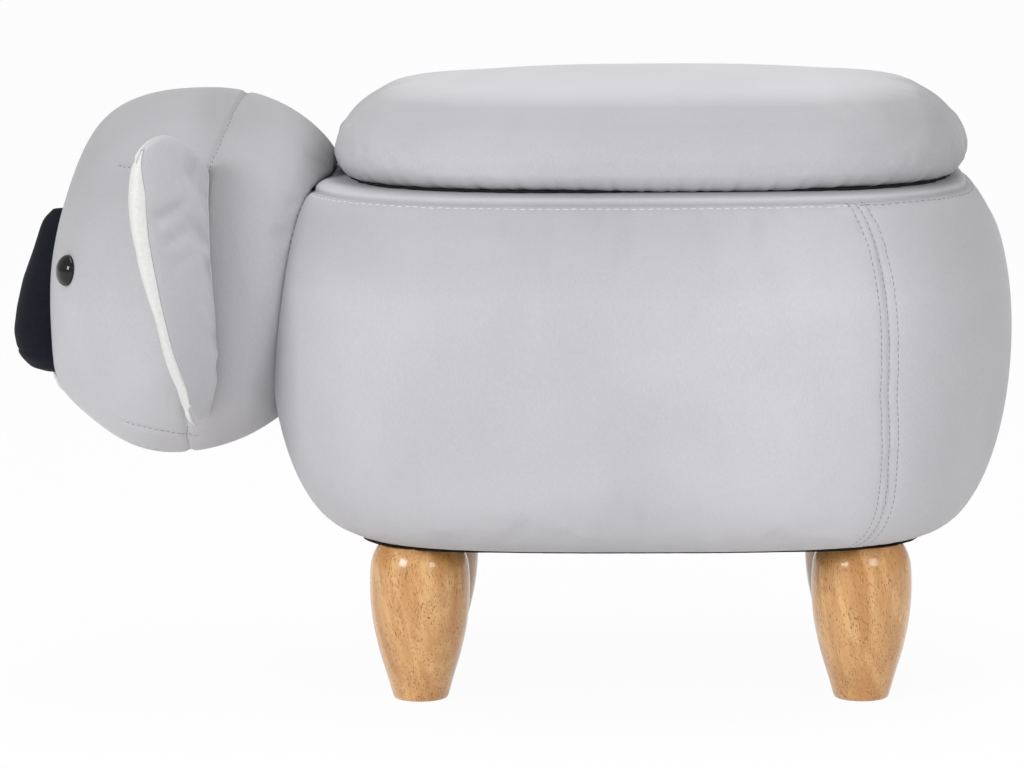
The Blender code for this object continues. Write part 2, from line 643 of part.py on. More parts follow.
def make_head_fixings(head_bores):
    """The head board and the bolts, washers and nuts that hold it to the front wall."""
    mesh = bmesh.new()
    board_start = (HEAD_BOARD_FRONT_X, 0.0, BODY_WIDEST_HEIGHT)
    add_rod(mesh, board_start, (1, 0, 0), HEAD_BOARD_RADIUS, HEAD_BOARD_THICKNESS, ROUND_STEPS)
    cut(make_object("head_board", mesh, "plywood"), head_bores)
    front, rear = head_bolt_span()
    hole = HEAD_BOLT_RADIUS + SEAT_GAP
    for hand, y in zip(HANDS, head_bolt_sides()):
        place = Matrix.Translation((front, y, BODY_WIDEST_HEIGHT)) @ Matrix.Rotation(math.pi / 2, 4, "Y")
        head_end = rear - front + HEAD_BOLT_HEAD_THICKNESS
        profile = ((HEAD_BOLT_RADIUS, 0.0), (HEAD_BOLT_RADIUS, rear - front),
                   (HEAD_BOLT_HEAD_RADIUS, rear - front), (HEAD_BOLT_HEAD_RADIUS, head_end))
        mesh = bmesh.new()
        add_turned(mesh, profile, place, SMALL_STEPS)
        make_object("head_bolt_" + hand, mesh, "steel")
        mesh = bmesh.new()
        washer_x = rear - SEAT_GAP - WASHER_THICKNESS
        start = (washer_x, y, BODY_WIDEST_HEIGHT)
        add_washer(mesh, start, (1, 0, 0), WASHER_RADIUS, hole, WASHER_THICKNESS)
        make_object("head_washer_" + hand, mesh, "steel")
        mesh = bmesh.new()
        nut_start = (front + SEAT_GAP, y, BODY_WIDEST_HEIGHT)
        nut_hole = hole / math.cos(math.pi / NUT_SIDES)
        add_washer(mesh, nut_start, (1, 0, 0), NUT_RADIUS, nut_hole, NUT_THICKNESS - SEAT_GAP, NUT_SIDES)
        make_object("head_nut_" + hand, mesh, "steel")


def make_head(eyes, envelope, lid_sweep, pockets):
    """The head's filling and its two covers, which meet at a seam round the middle."""
    behind_seam = HEAD_SEAM + SEAT_GAP / HEAD_HALF_HEIGHT
    rear_end = math.pi - HEAD_POLE
    mesh = bmesh.new()
    inside = COVER_THICKNESS + SEAT_GAP
    rings = head_rings(HEAD_POLE, HEAD_SEAM, inside) + head_rings(HEAD_SEAM, rear_end, inside)[1:]
    loft(mesh, rings, centre=HEAD_CENTRE)
    filling = make_object("head_filling", mesh, "wadding")
    cut(filling, envelope, lid_sweep, *pockets, eyes["washer_pockets"])

    mesh = bmesh.new()
    inner = head_rings(HEAD_POLE, HEAD_SEAM, COVER_THICKNESS)
    outer = head_rings(HEAD_POLE, HEAD_SEAM, 0.0)
    loft(mesh, inner + outer[::-1], centre=HEAD_CENTRE)
    cut(make_object("head_face_cover", mesh, "velvet"), eyes["shank_bores"])

    mesh = bmesh.new()
    inner = head_rings(behind_seam, rear_end, COVER_THICKNESS)
    outer = head_rings(behind_seam, rear_end, 0.0)
    loft(mesh, inner[::-1] + outer, centre=HEAD_CENTRE)
    cut(make_object("head_back_cover", mesh, "velvet"), envelope, lid_sweep)


def ear_middle(side, run, reach):
    """A point of an ear's middle sheet: run goes down the sewn root, reach goes away from it."""
    level = EAR_ROOT_TOP + (EAR_ROOT_BOTTOM - EAR_ROOT_TOP) * run
    rise = level - HEAD_CENTRE_HEIGHT
    half_chord = math.sqrt(math.sin(HEAD_SEAM) ** 2 - (rise / HEAD_HALF_HEIGHT) ** 2)
    root_y = HEAD_HALF_WIDTH * half_chord + EAR_ROOT_GAP
    root_x = HEAD_CENTRE_X - HEAD_REAR_LENGTH * math.cos(HEAD_SEAM) + HEAD_LEAN_SHARE * rise
    forward = EAR_FORWARD * (1 - EAR_FORWARD_FADE * run) * reach ** EAR_FORWARD_POWER
    outward = EAR_OUTWARD * (1 - (1 - reach) ** EAR_CURL_POWER)
    lift = EAR_LIFT * (1 - run) ** 2 * reach
    return Vector((root_x - forward, side * (root_y + outward), level + lift))


def ear_frame(side, along, out):
    """The middle point, the backward normal and the half thickness at a place of the ear's square grid."""
    turned = 2 * along - 1
    reach = out * math.sqrt(1 - turned ** 2 / 2)
    run = (1 + turned * math.sqrt(1 - out ** 2 / 2)) / 2
    centre = ear_middle(side, run, reach)
    nearer, further = max(reach - EAR_PROBE, 0.0), min(reach + EAR_PROBE, 1.0)
    above, below = max(run - EAR_PROBE, 0.0), min(run + EAR_PROBE, 1.0)
    down = ear_middle(side, below, reach) - ear_middle(side, above, reach)
    away = ear_middle(side, run, further) - ear_middle(side, run, nearer)
    normal = down.cross(away).normalized()
    if normal.x < 0:
        normal.negate()
    if out == 0.0:
        normal = Vector((1.0, 0.0, 0.0))
    across = EAR_ROOT_FULLNESS + (1 - EAR_ROOT_FULLNESS) * out
    swell = math.sin(math.pi * along) * math.sin(math.pi * across)
    fullness = max(swell, 0.0) ** EAR_FULLNESS_POWER
    half = EAR_EDGE_HALF_THICKNESS + (EAR_HALF_THICKNESS - EAR_EDGE_HALF_THICKNESS) * fullness
    return centre, normal, half


def make_ear_layer(name, side, finish, low_offset, high_offset):
    """One layer of an ear between two offsets from its middle, each worked out from the half thickness."""
    mesh = bmesh.new()
    shares = turns(EAR_STEPS, 0.0, 1.0, closed=False)
    grids = []
    for offset in (low_offset, high_offset):
        grid = []
        for along in shares:
            frames = [ear_frame(side, along, out) for out in shares]
            grid.append([mesh.verts.new(centre + normal * offset(half)) for centre, normal, half in frames])
        grids.append(grid)
    for grid in grids:
        for upper, lower in zip(grid, grid[1:]):
            for step in range(EAR_STEPS):
                mesh.faces.new((upper[step], upper[step + 1], lower[step + 1], lower[step]))
    borders = []
    for grid in grids:
        right = [row[-1] for row in grid[1:]]
        left = [row[0] for row in grid[1:-1]][::-1]
        borders.append(grid[0] + right + grid[-1][-2::-1] + left)
    low, high = borders
    for step in range(len(low)):
        after = (step + 1) % len(low)
        mesh.faces.new((low[step], low[after], high[after], high[step]))
    return make_object(name, mesh, finish)


def make_ears():
    """Two ears, each a grey back, wadding and a white plush front."""
    for hand, side in zip(HANDS, SIDES):
        skin = COVER_THICKNESS
        make_ear_layer("ear_back_" + hand, side, "velvet", lambda half: half - skin, lambda half: half)
        make_ear_layer("ear_wadding_" + hand, side, "wadding",
                       lambda half: skin + SEAT_GAP - half, lambda half: half - skin - SEAT_GAP)
        make_ear_layer("ear_front_" + hand, side, "plush", lambda half: -half, lambda half: skin - half)


def make_nose(head_envelope):
    """The nose: a wedge that swells towards its lower end, seated on the face."""
    mesh = bmesh.new()
    face_x = NOSE_TIP_X + NOSE_REACH
    back_x = face_x + NOSE_ROOT_DEPTH
    rings = []
    for height, reach, width in NOSE_PROFILE_SHARES:
        front_x = face_x - NOSE_REACH * reach
        level = NOSE_BOTTOM + NOSE_HEIGHT * height
        centre_x = (front_x + back_x) / 2
        half_length = (back_x - front_x) / 2
        half_width = NOSE_HALF_WIDTH * width
        rings.append([Vector((centre_x + half_length * math.cos(turn), half_width * math.sin(turn), level))
                      for turn in turns(ROUND_STEPS)])
    loft(mesh, rings)
    cut(make_object("nose", mesh, "black_fabric"), head_envelope)


def make_chin_patch():
    """A small plush patch laid on the face below the nose."""
    mesh = bmesh.new()
    rings = []
    down = -math.pi / 2
    layers = (
        (-SEAT_GAP, CHIN_RING_SHARES[::-1]),
        (-SEAT_GAP - CHIN_THICKNESS, CHIN_RING_SHARES),
    )
    for depth, shares in layers:
        for share in shares:
            radius = CHIN_RADIUS * share
            ring = []
            for turn in turns(ROUND_STEPS):
                psi = CHIN_ANGLE + radius * math.cos(turn) / HEAD_HALF_HEIGHT
                around = down + radius * math.sin(turn) / (HEAD_HALF_WIDTH * math.sin(psi))
                ring.append(head_point(psi, around, depth))
            rings.append(ring)
    loft(mesh, rings)
    make_object("chin_patch", mesh, "plush")


def eye_seat(side):
    """The point of the face under an eye and the outward direction there."""
    rise = EYE_HEIGHT - HEAD_CENTRE_HEIGHT
    y = side * EYE_SPACING / 2
    share = 1 - (y / HEAD_HALF_WIDTH) ** 2 - (rise / HEAD_HALF_HEIGHT) ** 2
    reach = HEAD_FRONT_LENGTH * math.sqrt(share)
    point = Vector((HEAD_CENTRE_X - reach + HEAD_LEAN_SHARE * rise, y, EYE_HEIGHT))
    ahead = -reach / HEAD_FRONT_LENGTH ** 2
    above = rise / HEAD_HALF_HEIGHT ** 2 - HEAD_LEAN_SHARE * ahead
    return point, Vector((ahead, y / HEAD_HALF_WIDTH ** 2, above)).normalized()


def make_eyes():
    """Two domed eyes with shanks, their washers inside the face, and the cutters for them."""
    shank_bores, washer_pockets = bmesh.new(), bmesh.new()
    behind = COVER_THICKNESS + SEAT_GAP + EYE_WASHER_SLACK
    for hand, side in zip(HANDS, SIDES):
        point, out = eye_seat(side)
        base = point + out * SEAT_GAP
        place = Matrix.Translation(base) @ out.to_track_quat("Z", "Y").to_matrix().to_4x4()
        profile = [(EYE_SHANK_RADIUS, -EYE_SHANK_LENGTH), (EYE_SHANK_RADIUS, 0.0)]
        profile += [(EYE_RADIUS * radius, EYE_DOME * height) for radius, height in EYE_DOME_SHARES]
        mesh = bmesh.new()
        add_turned(mesh, profile, place, ROUND_STEPS)
        make_object("eye_" + hand, mesh, "eye")
        washer_start = point - out * behind
        mesh = bmesh.new()
        hole = EYE_SHANK_RADIUS + SEAT_GAP
        add_washer(mesh, washer_start, -out, EYE_WASHER_RADIUS, hole, EYE_WASHER_THICKNESS)
        make_object("eye_washer_" + hand, mesh, "plastic")
        add_rod(shank_bores, point + out * CUT_OVERRUN, -out, EYE_SHANK_RADIUS + SEAT_GAP, 2 * CUT_OVERRUN)
        add_rod(washer_pockets, point + out * CUT_OVERRUN, -out, EYE_WASHER_RADIUS + SEAT_GAP,
                CUT_OVERRUN + EYE_SHANK_LENGTH + SEAT_GAP)
    return {
        "shank_bores": make_object("eye_shank_bores", shank_bores),
        "washer_pockets": make_object("eye_washer_pockets", washer_pockets),
    }


def make_head_envelope():
    """Cutter with the head's outside, grown by the seat gap."""
    mesh = bmesh.new()
    loft(mesh, head_rings(HEAD_POLE, HEAD_SEAM, -SEAT_GAP), centre=HEAD_CENTRE)
    return make_object("head_envelope", mesh)


# Lid.

def lid_edge(depth):
    """Inset and level up the lid's rounded side, from its underside to its shoulder."""
    points = []
    for rise in turns(LID_UNDER_STEPS, -math.pi / 2, 0.0, closed=False)[:-1]:
        height = LID_WIDEST_HEIGHT - LID_BASE
        out = Vector((math.cos(rise) / LID_UNDER_RUN, math.sin(rise) / height)).normalized()
        inset = LID_UNDER_RUN * (1 - math.cos(rise)) + depth * out.x
        points.append((inset, LID_WIDEST_HEIGHT + height * math.sin(rise) - depth * out.y))
    return points + lid_upper_edge(depth)


def lid_upper_edge(depth):
    """Inset and level from the lid's widest line to its shoulder."""
    points = []
    height = LID_SHOULDER_HEIGHT - LID_WIDEST_HEIGHT
    for rise in turns(LID_EDGE_STEPS, 0.0, math.pi / 2, closed=False):
        out = Vector((math.cos(rise) / LID_EDGE_RUN, math.sin(rise) / height)).normalized()
        inset = LID_EDGE_RUN * (1 - math.cos(rise)) + depth * out.x
        points.append((inset, LID_WIDEST_HEIGHT + height * math.sin(rise) - depth * out.y))
    return points


def lid_rings(profile):
    """Rings of the lid's outline at each inset and level."""
    return [[lid_point(turn, inset, level) for turn in turns(PLAN_STEPS)] for inset, level in profile]


def lid_crown(depth):
    """Rings over the lid's crowned top, from its shoulder inwards."""
    rings = []
    for share in LID_CROWN_SHARES:
        level = LID_SHOULDER_HEIGHT + LID_CROWN * (1 - share ** 2) - depth
        rings.append([lid_point(turn, LID_EDGE_RUN, level, share) for turn in turns(PLAN_STEPS)])
    return rings


def lid_plate(name, inset, low, high, finish, parent):
    """A flat plate with the lid's outline."""
    mesh = bmesh.new()
    loft(mesh, lid_rings([(inset, low), (inset, high)]))
    return make_object(name, mesh, finish, parent)


def make_lid(parent, lid_pockets):
    """The lid's board, foam, velvet cover and black lining."""
    lid_plate("lid_board", LID_BOARD_INSET, LID_BOARD_BOTTOM, LID_BOARD_TOP, "plywood", parent)
    lining = lid_plate("lid_lining", LID_LINING_INSET, LID_LINING_BOTTOM, LID_LINING_TOP, "lining", parent)
    cut(lining, lid_pockets)

    mesh = bmesh.new()
    depth = COVER_THICKNESS + SEAT_GAP
    foam_side = lid_upper_edge(depth)
    foam_side[0] = (foam_side[0][0], LID_BOARD_TOP + SEAT_GAP)
    loft(mesh, lid_rings(foam_side) + lid_crown(depth), centre=LID_CENTRE)
    make_object("lid_foam", mesh, "foam", parent)

    mesh = bmesh.new()
    edge = LID_UNDER_RUN + LID_TURN_IN
    outer = lid_rings([(edge, LID_BASE)] + lid_edge(0.0)) + lid_crown(0.0)
    inner = lid_rings([(edge, LID_BASE + COVER_THICKNESS)] + lid_edge(COVER_THICKNESS))
    inner += lid_crown(COVER_THICKNESS)
    loft(mesh, inner[::-1] + outer, centre=LID_CENTRE)
    cut(make_object("lid_cover", mesh, "velvet", parent), lid_pockets)


# Hinges.

def hinge_centres():
    """The hinges' middles along the lid's far side."""
    return [LID_CENTRE_X + side * HINGE_SPACING / 2 for side in SIDES]


def leaf_sections(upper):
    """A leaf's plate and its rolled eye in Y and Z: the eye starts with the two corners it shares."""
    near_y = HINGE_AXIS_Y - HINGE_LEAF_REACH
    eye_y = HINGE_AXIS_Y - HINGE_KNUCKLE_RADIUS
    low = LID_LEAF_BOTTOM if upper else BASE_LEAF_BOTTOM
    high = low + HINGE_LEAF_THICKNESS
    plate = [(near_y, low), (eye_y, low), (eye_y, high), (near_y, high)]
    bore = HINGE_PIN_RADIUS + SEAT_GAP
    hand = 1 if upper else -1
    angles = turns(SMALL_STEPS, hand * HINGE_EYE_FIRST, hand * HINGE_EYE_LAST, closed=False)
    outer, inner = [[(HINGE_AXIS_Y + radius * math.cos(a), HINGE_AXIS_Z + radius * math.sin(a))
                     for a in angles] for radius in (HINGE_KNUCKLE_RADIUS, bore)]
    shared = [(eye_y, high), (eye_y, low)] if upper else [(eye_y, low), (eye_y, high)]
    return plate, shared, outer, inner


def add_leaf(mesh, centre, upper):
    """Add a rolled hinge leaf whose eyes alternate with the other leaf's along the pin."""
    plate, shared, outer, inner = leaf_sections(upper)
    eye = [shared[0]] + outer + inner[::-1] + [shared[1]]
    third = HINGE_WIDTH / 3
    half = HINGE_WIDTH / 2
    edge = third / 2
    inside = edge - SEAT_GAP if upper else edge + SEAT_GAP
    stations = [centre + offset for offset in (-half, -inside, inside, half)]
    rolled = (False, True, False) if upper else (True, False, True)

    plate_rows = [[mesh.verts.new((x, y, z)) for y, z in plate] for x in stations]
    high_corner, low_corner = 2, 1
    pair = (high_corner, low_corner) if upper else (low_corner, high_corner)

    def eye_row(row, x):
        free = [mesh.verts.new((x, y, z)) for y, z in eye[1:-1]]
        return [row[pair[0]]] + free + [row[pair[1]]]

    eye_rows = [eye_row(row, x) for row, x in zip(plate_rows, stations)]
    for index, is_rolled in enumerate(rolled):
        low, high = plate_rows[index], plate_rows[index + 1]
        for start in range(4):
            end = (start + 1) % 4
            if is_rolled and start == 1:
                continue
            mesh.faces.new((low[start], low[end], high[end], high[start]))
        if is_rolled:
            low, high = eye_rows[index], eye_rows[index + 1]
            for start in range(len(low) - 1):
                mesh.faces.new((low[start], low[start + 1], high[start + 1], high[start]))
    for index in range(4):
        before = rolled[index - 1] if index else False
        after = rolled[index] if index < 3 else False
        if before != after:
            mesh.faces.new(eye_rows[index])
    mesh.faces.new(plate_rows[0])
    mesh.faces.new(plate_rows[-1])
    loose = [vert for vert in mesh.verts if not vert.link_faces]
    bmesh.ops.delete(mesh, geom=loose, context="VERTS")


def add_block(mesh, low, high):
    """Add a plain block between two corners."""
    corners = [(low[0], low[1]), (high[0], low[1]), (high[0], high[1]), (low[0], high[1])]
    loft(mesh, [[Vector((x, y, level)) for x, y in corners] for level in (low[2], high[2])])


def make_hinge_pockets():
    """Cutters that let the leaves lie on the wood and leave room for the knuckles."""
    half = HINGE_WIDTH / 2 + SEAT_GAP
    near_y = HINGE_AXIS_Y - HINGE_LEAF_REACH - SEAT_GAP
    far_y = HINGE_AXIS_Y + HINGE_KNUCKLE_RADIUS + SWING_CLEARANCE
    rim, lid = bmesh.new(), bmesh.new()
    lid_far_y = HINGE_AXIS_Y + CUT_OVERRUN
    for centre in hinge_centres():
        add_block(rim, (centre - half, near_y, BASE_LEAF_BOTTOM - SEAT_GAP),
                  (centre + half, far_y, BODY_RIM_HEIGHT + CUT_OVERRUN))
        add_block(lid, (centre - half, near_y, LID_LINING_BOTTOM - CUT_OVERRUN),
                  (centre + half, lid_far_y, LID_LEAF_TOP + SEAT_GAP / 2 + SWING_CLEARANCE))
    return make_object("rim_pockets", rim), make_object("lid_pockets", lid)


def make_hinges(parent):
    """Two butt hinges: a leaf on the frame, a leaf under the lid and a pin."""
    for number, centre in enumerate(hinge_centres(), start=1):
        mesh = bmesh.new()
        add_leaf(mesh, centre, upper=False)
        make_object(f"hinge_base_leaf_{number}", mesh, "steel")
        mesh = bmesh.new()
        add_leaf(mesh, centre, upper=True)
        make_object(f"hinge_lid_leaf_{number}", mesh, "steel", parent)
        mesh = bmesh.new()
        start = (centre - HINGE_WIDTH / 2, HINGE_AXIS_Y, HINGE_AXIS_Z)
        add_rod(mesh, start, (1, 0, 0), HINGE_PIN_RADIUS, HINGE_WIDTH)
        make_object(f"hinge_pin_{number}", mesh, "steel")


def main():
    """Build the footstool."""
    start_clean()
    lid_pivot = bpy.data.objects.new("lid_pivot", None)
    lid_pivot.location = (LID_CENTRE_X, HINGE_AXIS_Y, HINGE_AXIS_Z)
    bpy.context.scene.collection.objects.link(lid_pivot)

    leg_bores = make_leg_bores()
    head_bores = make_head_bores()
    rim_pockets, lid_pockets = make_hinge_pockets()

    make_frame(leg_bores, head_bores)
    make_foam(head_bores)
    make_covers(leg_bores, head_bores, rim_pockets)
    make_linings(leg_bores, head_bores)
    make_legs()

    eyes = make_eyes()
    envelope = make_body_envelope()
    lid_sweep = make_lid_sweep()
    make_head(eyes, envelope, lid_sweep, make_head_cutters())
    make_head_fixings(head_bores)
    make_ears()
    make_nose(make_head_envelope())
    make_chin_patch()

    make_lid(lid_pivot, lid_pockets)
    make_hinges(lid_pivot)


main()
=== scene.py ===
"""Looks of the animal footstool: upholstery, ears, face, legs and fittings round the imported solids."""

import json
import logging
import math
from dataclasses import dataclass, field
from enum import Enum

import bmesh
import bpy
import numpy as np
from mathutils import Matrix, Vector
from mathutils.bvhtree import BVHTree


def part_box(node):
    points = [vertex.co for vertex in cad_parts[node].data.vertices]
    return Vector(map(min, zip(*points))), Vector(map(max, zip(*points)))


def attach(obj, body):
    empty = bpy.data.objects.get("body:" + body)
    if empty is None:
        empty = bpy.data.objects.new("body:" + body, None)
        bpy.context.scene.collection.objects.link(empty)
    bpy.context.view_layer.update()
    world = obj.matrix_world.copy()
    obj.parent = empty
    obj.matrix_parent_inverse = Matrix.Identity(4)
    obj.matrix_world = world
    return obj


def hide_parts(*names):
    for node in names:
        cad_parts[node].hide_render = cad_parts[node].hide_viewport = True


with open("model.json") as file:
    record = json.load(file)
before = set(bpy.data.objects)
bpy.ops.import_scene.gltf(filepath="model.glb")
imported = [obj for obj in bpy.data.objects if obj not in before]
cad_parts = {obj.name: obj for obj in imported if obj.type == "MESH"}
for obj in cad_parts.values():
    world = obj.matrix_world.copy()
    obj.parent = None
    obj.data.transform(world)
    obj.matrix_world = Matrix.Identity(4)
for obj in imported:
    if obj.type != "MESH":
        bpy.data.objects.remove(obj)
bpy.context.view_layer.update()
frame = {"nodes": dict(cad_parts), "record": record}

LOG = logging.getLogger("footstool")
FULL_TURN = 2 * math.pi
HALF_TURN = math.pi
QUARTER_TURN = math.pi / 2
LEG_NAMES = ("near_front", "near_rear", "far_front", "far_rear")

Triple = tuple[float, float, float]
Colour = Triple
Profile = tuple[tuple[float, float], ...]


class Hand(Enum):
    """The two sides of the object: the photographed one is near."""

    NEAR = -1
    FAR = 1

    @property
    def word(self) -> str:
        """The side's word in piece names."""
        return self.name.lower()


class Body(Enum):
    """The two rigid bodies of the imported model."""

    BASE = "base"
    LID = "lid"


# Modelling helpers.


class Bench:
    """Small steps that every piece needs, made with Blender's own operators."""

    @staticmethod
    def deselect() -> None:
        """Leave object mode with nothing selected."""
        if bpy.context.object is not None and bpy.context.object.mode != "OBJECT":
            bpy.ops.object.mode_set(mode="OBJECT")
        bpy.ops.object.select_all(action="DESELECT")

    @staticmethod
    def pick(piece: bpy.types.Object) -> None:
        """Make one piece the selected and active one."""
        Bench.deselect()
        piece.select_set(True)
        bpy.context.view_layer.objects.active = piece

    @staticmethod
    def named(name: str) -> bpy.types.Object:
        """Give the active object and its mesh their name.

        Args:
            name: the piece's name.

        Returns:
            The active object.
        """
        piece = bpy.context.object
        piece.name = name
        piece.data.name = name
        return piece

    @staticmethod
    def settle(piece: bpy.types.Object, smooth_degrees: float = 40.0) -> bpy.types.Object:
        """Put the piece's place into its mesh and shade it smooth.

        Args:
            piece: the finished piece.
            smooth_degrees: edges sharper than this stay sharp.

        Returns:
            The same piece.
        """
        Bench.pick(piece)
        bpy.ops.object.transform_apply(location=True, rotation=True, scale=True)
        bpy.ops.object.shade_smooth_by_angle(angle=math.radians(smooth_degrees))
        return piece

    @staticmethod
    def modify(piece: bpy.types.Object, kind: str, **settings: object) -> None:
        """Add a modifier, set it and apply it.

        Args:
            piece: the piece that it shapes.
            kind: the modifier's type.
            settings: its values by name.
        """
        Bench.pick(piece)
        modifier = piece.modifiers.new(kind.title(), kind)
        for key, value in settings.items():
            setattr(modifier, key, value)
        bpy.ops.object.modifier_apply(modifier=modifier.name)

    @staticmethod
    def subdivide(piece: bpy.types.Object, levels: int = 1) -> None:
        """Apply a subdivision surface."""
        Bench.modify(piece, "SUBSURF", levels=levels, render_levels=levels, use_limit_surface=False)

    @staticmethod
    def remesh(piece: bpy.types.Object, voxel: float) -> None:
        """Rebuild the piece's mesh from voxels of a size."""
        piece.data.remesh_voxel_size = voxel
        Bench.pick(piece)
        bpy.ops.object.voxel_remesh()

    @staticmethod
    def from_points(name: str, points: np.ndarray, faces: list[tuple[int, ...]]) -> bpy.types.Object:
        """Make a mesh object from points and faces, with its normals outward.

        Args:
            name: the piece's name.
            points: one row per point, in metres.
            faces: the corners of each face.

        Returns:
            The new object.
        """
        data = bpy.data.meshes.new(name)
        data.from_pydata([tuple(point) for point in points], [], faces)
        piece = bpy.data.objects.new(name, data)
        bpy.context.scene.collection.objects.link(piece)
        Bench.pick(piece)
        bpy.ops.object.mode_set(mode="EDIT")
        bpy.ops.mesh.select_all(action="SELECT")
        bpy.ops.mesh.normals_make_consistent(inside=False)
        bpy.ops.object.mode_set(mode="OBJECT")
        return piece

    @staticmethod
    def points(piece: bpy.types.Object) -> np.ndarray:
        """The piece's points, one row each."""
        flat = np.empty(len(piece.data.vertices) * 3)
        piece.data.vertices.foreach_get("co", flat)
        return flat.reshape(-1, 3)

    @staticmethod
    def normals(piece: bpy.types.Object) -> np.ndarray:
        """The piece's point normals, one row each."""
        flat = np.empty(len(piece.data.vertices) * 3)
        piece.data.vertex_normals.foreach_get("vector", flat)
        return flat.reshape(-1, 3)

    @staticmethod
    def move_points(piece: bpy.types.Object, points: np.ndarray) -> None:
        """Write new places for the piece's points."""
        piece.data.vertices.foreach_set("co", points.ravel())
        piece.data.update()

    @staticmethod
    def join(name: str, parts: list[bpy.types.Object]) -> bpy.types.Object:
        """Join parts into one piece.

        Args:
            name: the joined piece's name.
            parts: what it is made of.

        Returns:
            The joined piece.
        """
        Bench.deselect()
        for part in parts:
            part.select_set(True)
        bpy.context.view_layer.objects.active = parts[0]
        if len(parts) > 1:
            bpy.ops.object.join()
        return Bench.named(name)


def grid_faces(rows: int, columns: int, close_rows: bool, close_columns: bool) -> list[tuple[int, ...]]:
    """Faces of a grid of points that are numbered row by row.

    Args:
        rows: how many rows.
        columns: how many points in a row.
        close_rows: the last row joins the first.
        close_columns: each row is a ring.

    Returns:
        The corners of each four-sided face.
    """
    faces = []
    for row in range(rows if close_rows else rows - 1):
        after = (row + 1) % rows
        for column in range(columns if close_columns else columns - 1):
            beside = (column + 1) % columns
            faces.append((row * columns + column, row * columns + beside,
                          after * columns + beside, after * columns + column))
    return faces


def ring_faces(rows: int, columns: int) -> list[tuple[int, ...]]:
    """Faces of stacked rings of points, with the first and the last ring closed by one face each."""
    first_cap, last_cap = tuple(range(columns)), tuple(range((rows - 1) * columns, rows * columns))
    return grid_faces(rows, columns, False, True) + [first_cap, last_cap]


def round_turns(count: int) -> np.ndarray:
    """Even angles once round, the first one not repeated."""
    return np.linspace(0.0, FULL_TURN, count, endpoint=False)


@dataclass(frozen=True)
class Padding:
    """How a padded form is blown up by Blender's Cloth, as a tight cover over foam does."""

    pressure: float = 4.0
    cap: float = 0.004
    frames: int = 20
    slack: float = 0.0
    bending: float = 1.0
    tension: float = 15.0

    def inflate(self, piece: bpy.types.Object, pinned: np.ndarray) -> None:
        """Blow the piece up between its pinned points, and keep each point near where it was.

        Args:
            piece: a closed mesh.
            pinned: how firmly each point stays, from 0 to 1.
        """
        before = Bench.points(piece).copy()
        group = piece.vertex_groups.new(name="held")
        for index, weight in enumerate(pinned):
            if weight > 0.0:
                group.add([index], float(weight), "REPLACE")
        Bench.pick(piece)
        modifier = piece.modifiers.new("Cloth", "CLOTH")
        settings = modifier.settings
        settings.quality = 5
        settings.mass = 0.3
        settings.tension_stiffness = self.tension
        settings.compression_stiffness = self.tension
        settings.shear_stiffness = self.tension / 2
        settings.bending_stiffness = self.bending
        settings.use_pressure = True
        settings.uniform_pressure_force = self.pressure
        settings.shrink_min = -self.slack
        settings.vertex_group_mass = "held"
        settings.effector_weights.gravity = 0.0
        modifier.point_cache.frame_start = 1
        modifier.point_cache.frame_end = self.frames
        for number in range(1, self.frames + 1):
            bpy.context.scene.frame_set(number)
        bpy.ops.object.modifier_apply(modifier=modifier.name)
        bpy.context.scene.frame_set(1)
        moved = Bench.points(piece) - before
        length = np.linalg.norm(moved, axis=1, keepdims=True)
        capped = moved * np.minimum(1.0, self.cap / np.maximum(length, 1e-9))
        Bench.move_points(piece, before + capped)
        piece.vertex_groups.clear()


def laid_on(piece: bpy.types.Object, line: np.ndarray) -> np.ndarray:
    """The nearest points of a piece's surface to a line's points."""
    tree = BVHTree.FromObject(piece, bpy.context.evaluated_depsgraph_get())
    return np.array([tree.find_nearest(Vector(point))[0] for point in line])


def press_line(piece: bpy.types.Object, line: np.ndarray, depth: float, width: float) -> None:
    """Press a sewn line into a surface.

    Args:
        piece: the padded piece.
        line: points along the line, closer together than its width.
        depth: how deep it is drawn in.
        width: how far the pull reaches on each side.
    """
    points, normals = Bench.points(piece), Bench.normals(piece)
    line = laid_on(piece, line)
    low, high = line.min(0) - 3 * width, line.max(0) + 3 * width
    close = np.where(np.all((points > low) & (points < high), axis=1))[0]
    if not len(close):
        return
    nearest = np.full(len(close), 1e9)
    for start in range(0, len(line), 64):
        gaps = points[close][:, None, :] - line[None, start:start + 64, :]
        nearest = np.minimum(nearest, np.sqrt((gaps ** 2).sum(2)).min(1))
    pull = depth * np.exp(-(nearest / width) ** 2)
    points[close] -= normals[close] * pull[:, None]
    Bench.move_points(piece, points)


def evenly(line: np.ndarray, pitch: float) -> np.ndarray:
    """Points along a line, evenly spaced.

    Args:
        line: the line's own points.
        pitch: the distance wanted.

    Returns:
        The new points.
    """
    steps = np.linalg.norm(np.diff(line, axis=0), axis=1)
    run = np.concatenate(([0.0], np.cumsum(steps)))
    count = max(2, int(run[-1] / pitch) + 1)
    places = np.linspace(0.0, run[-1], count)
    return np.stack([np.interp(places, run, line[:, axis]) for axis in range(3)], axis=1)


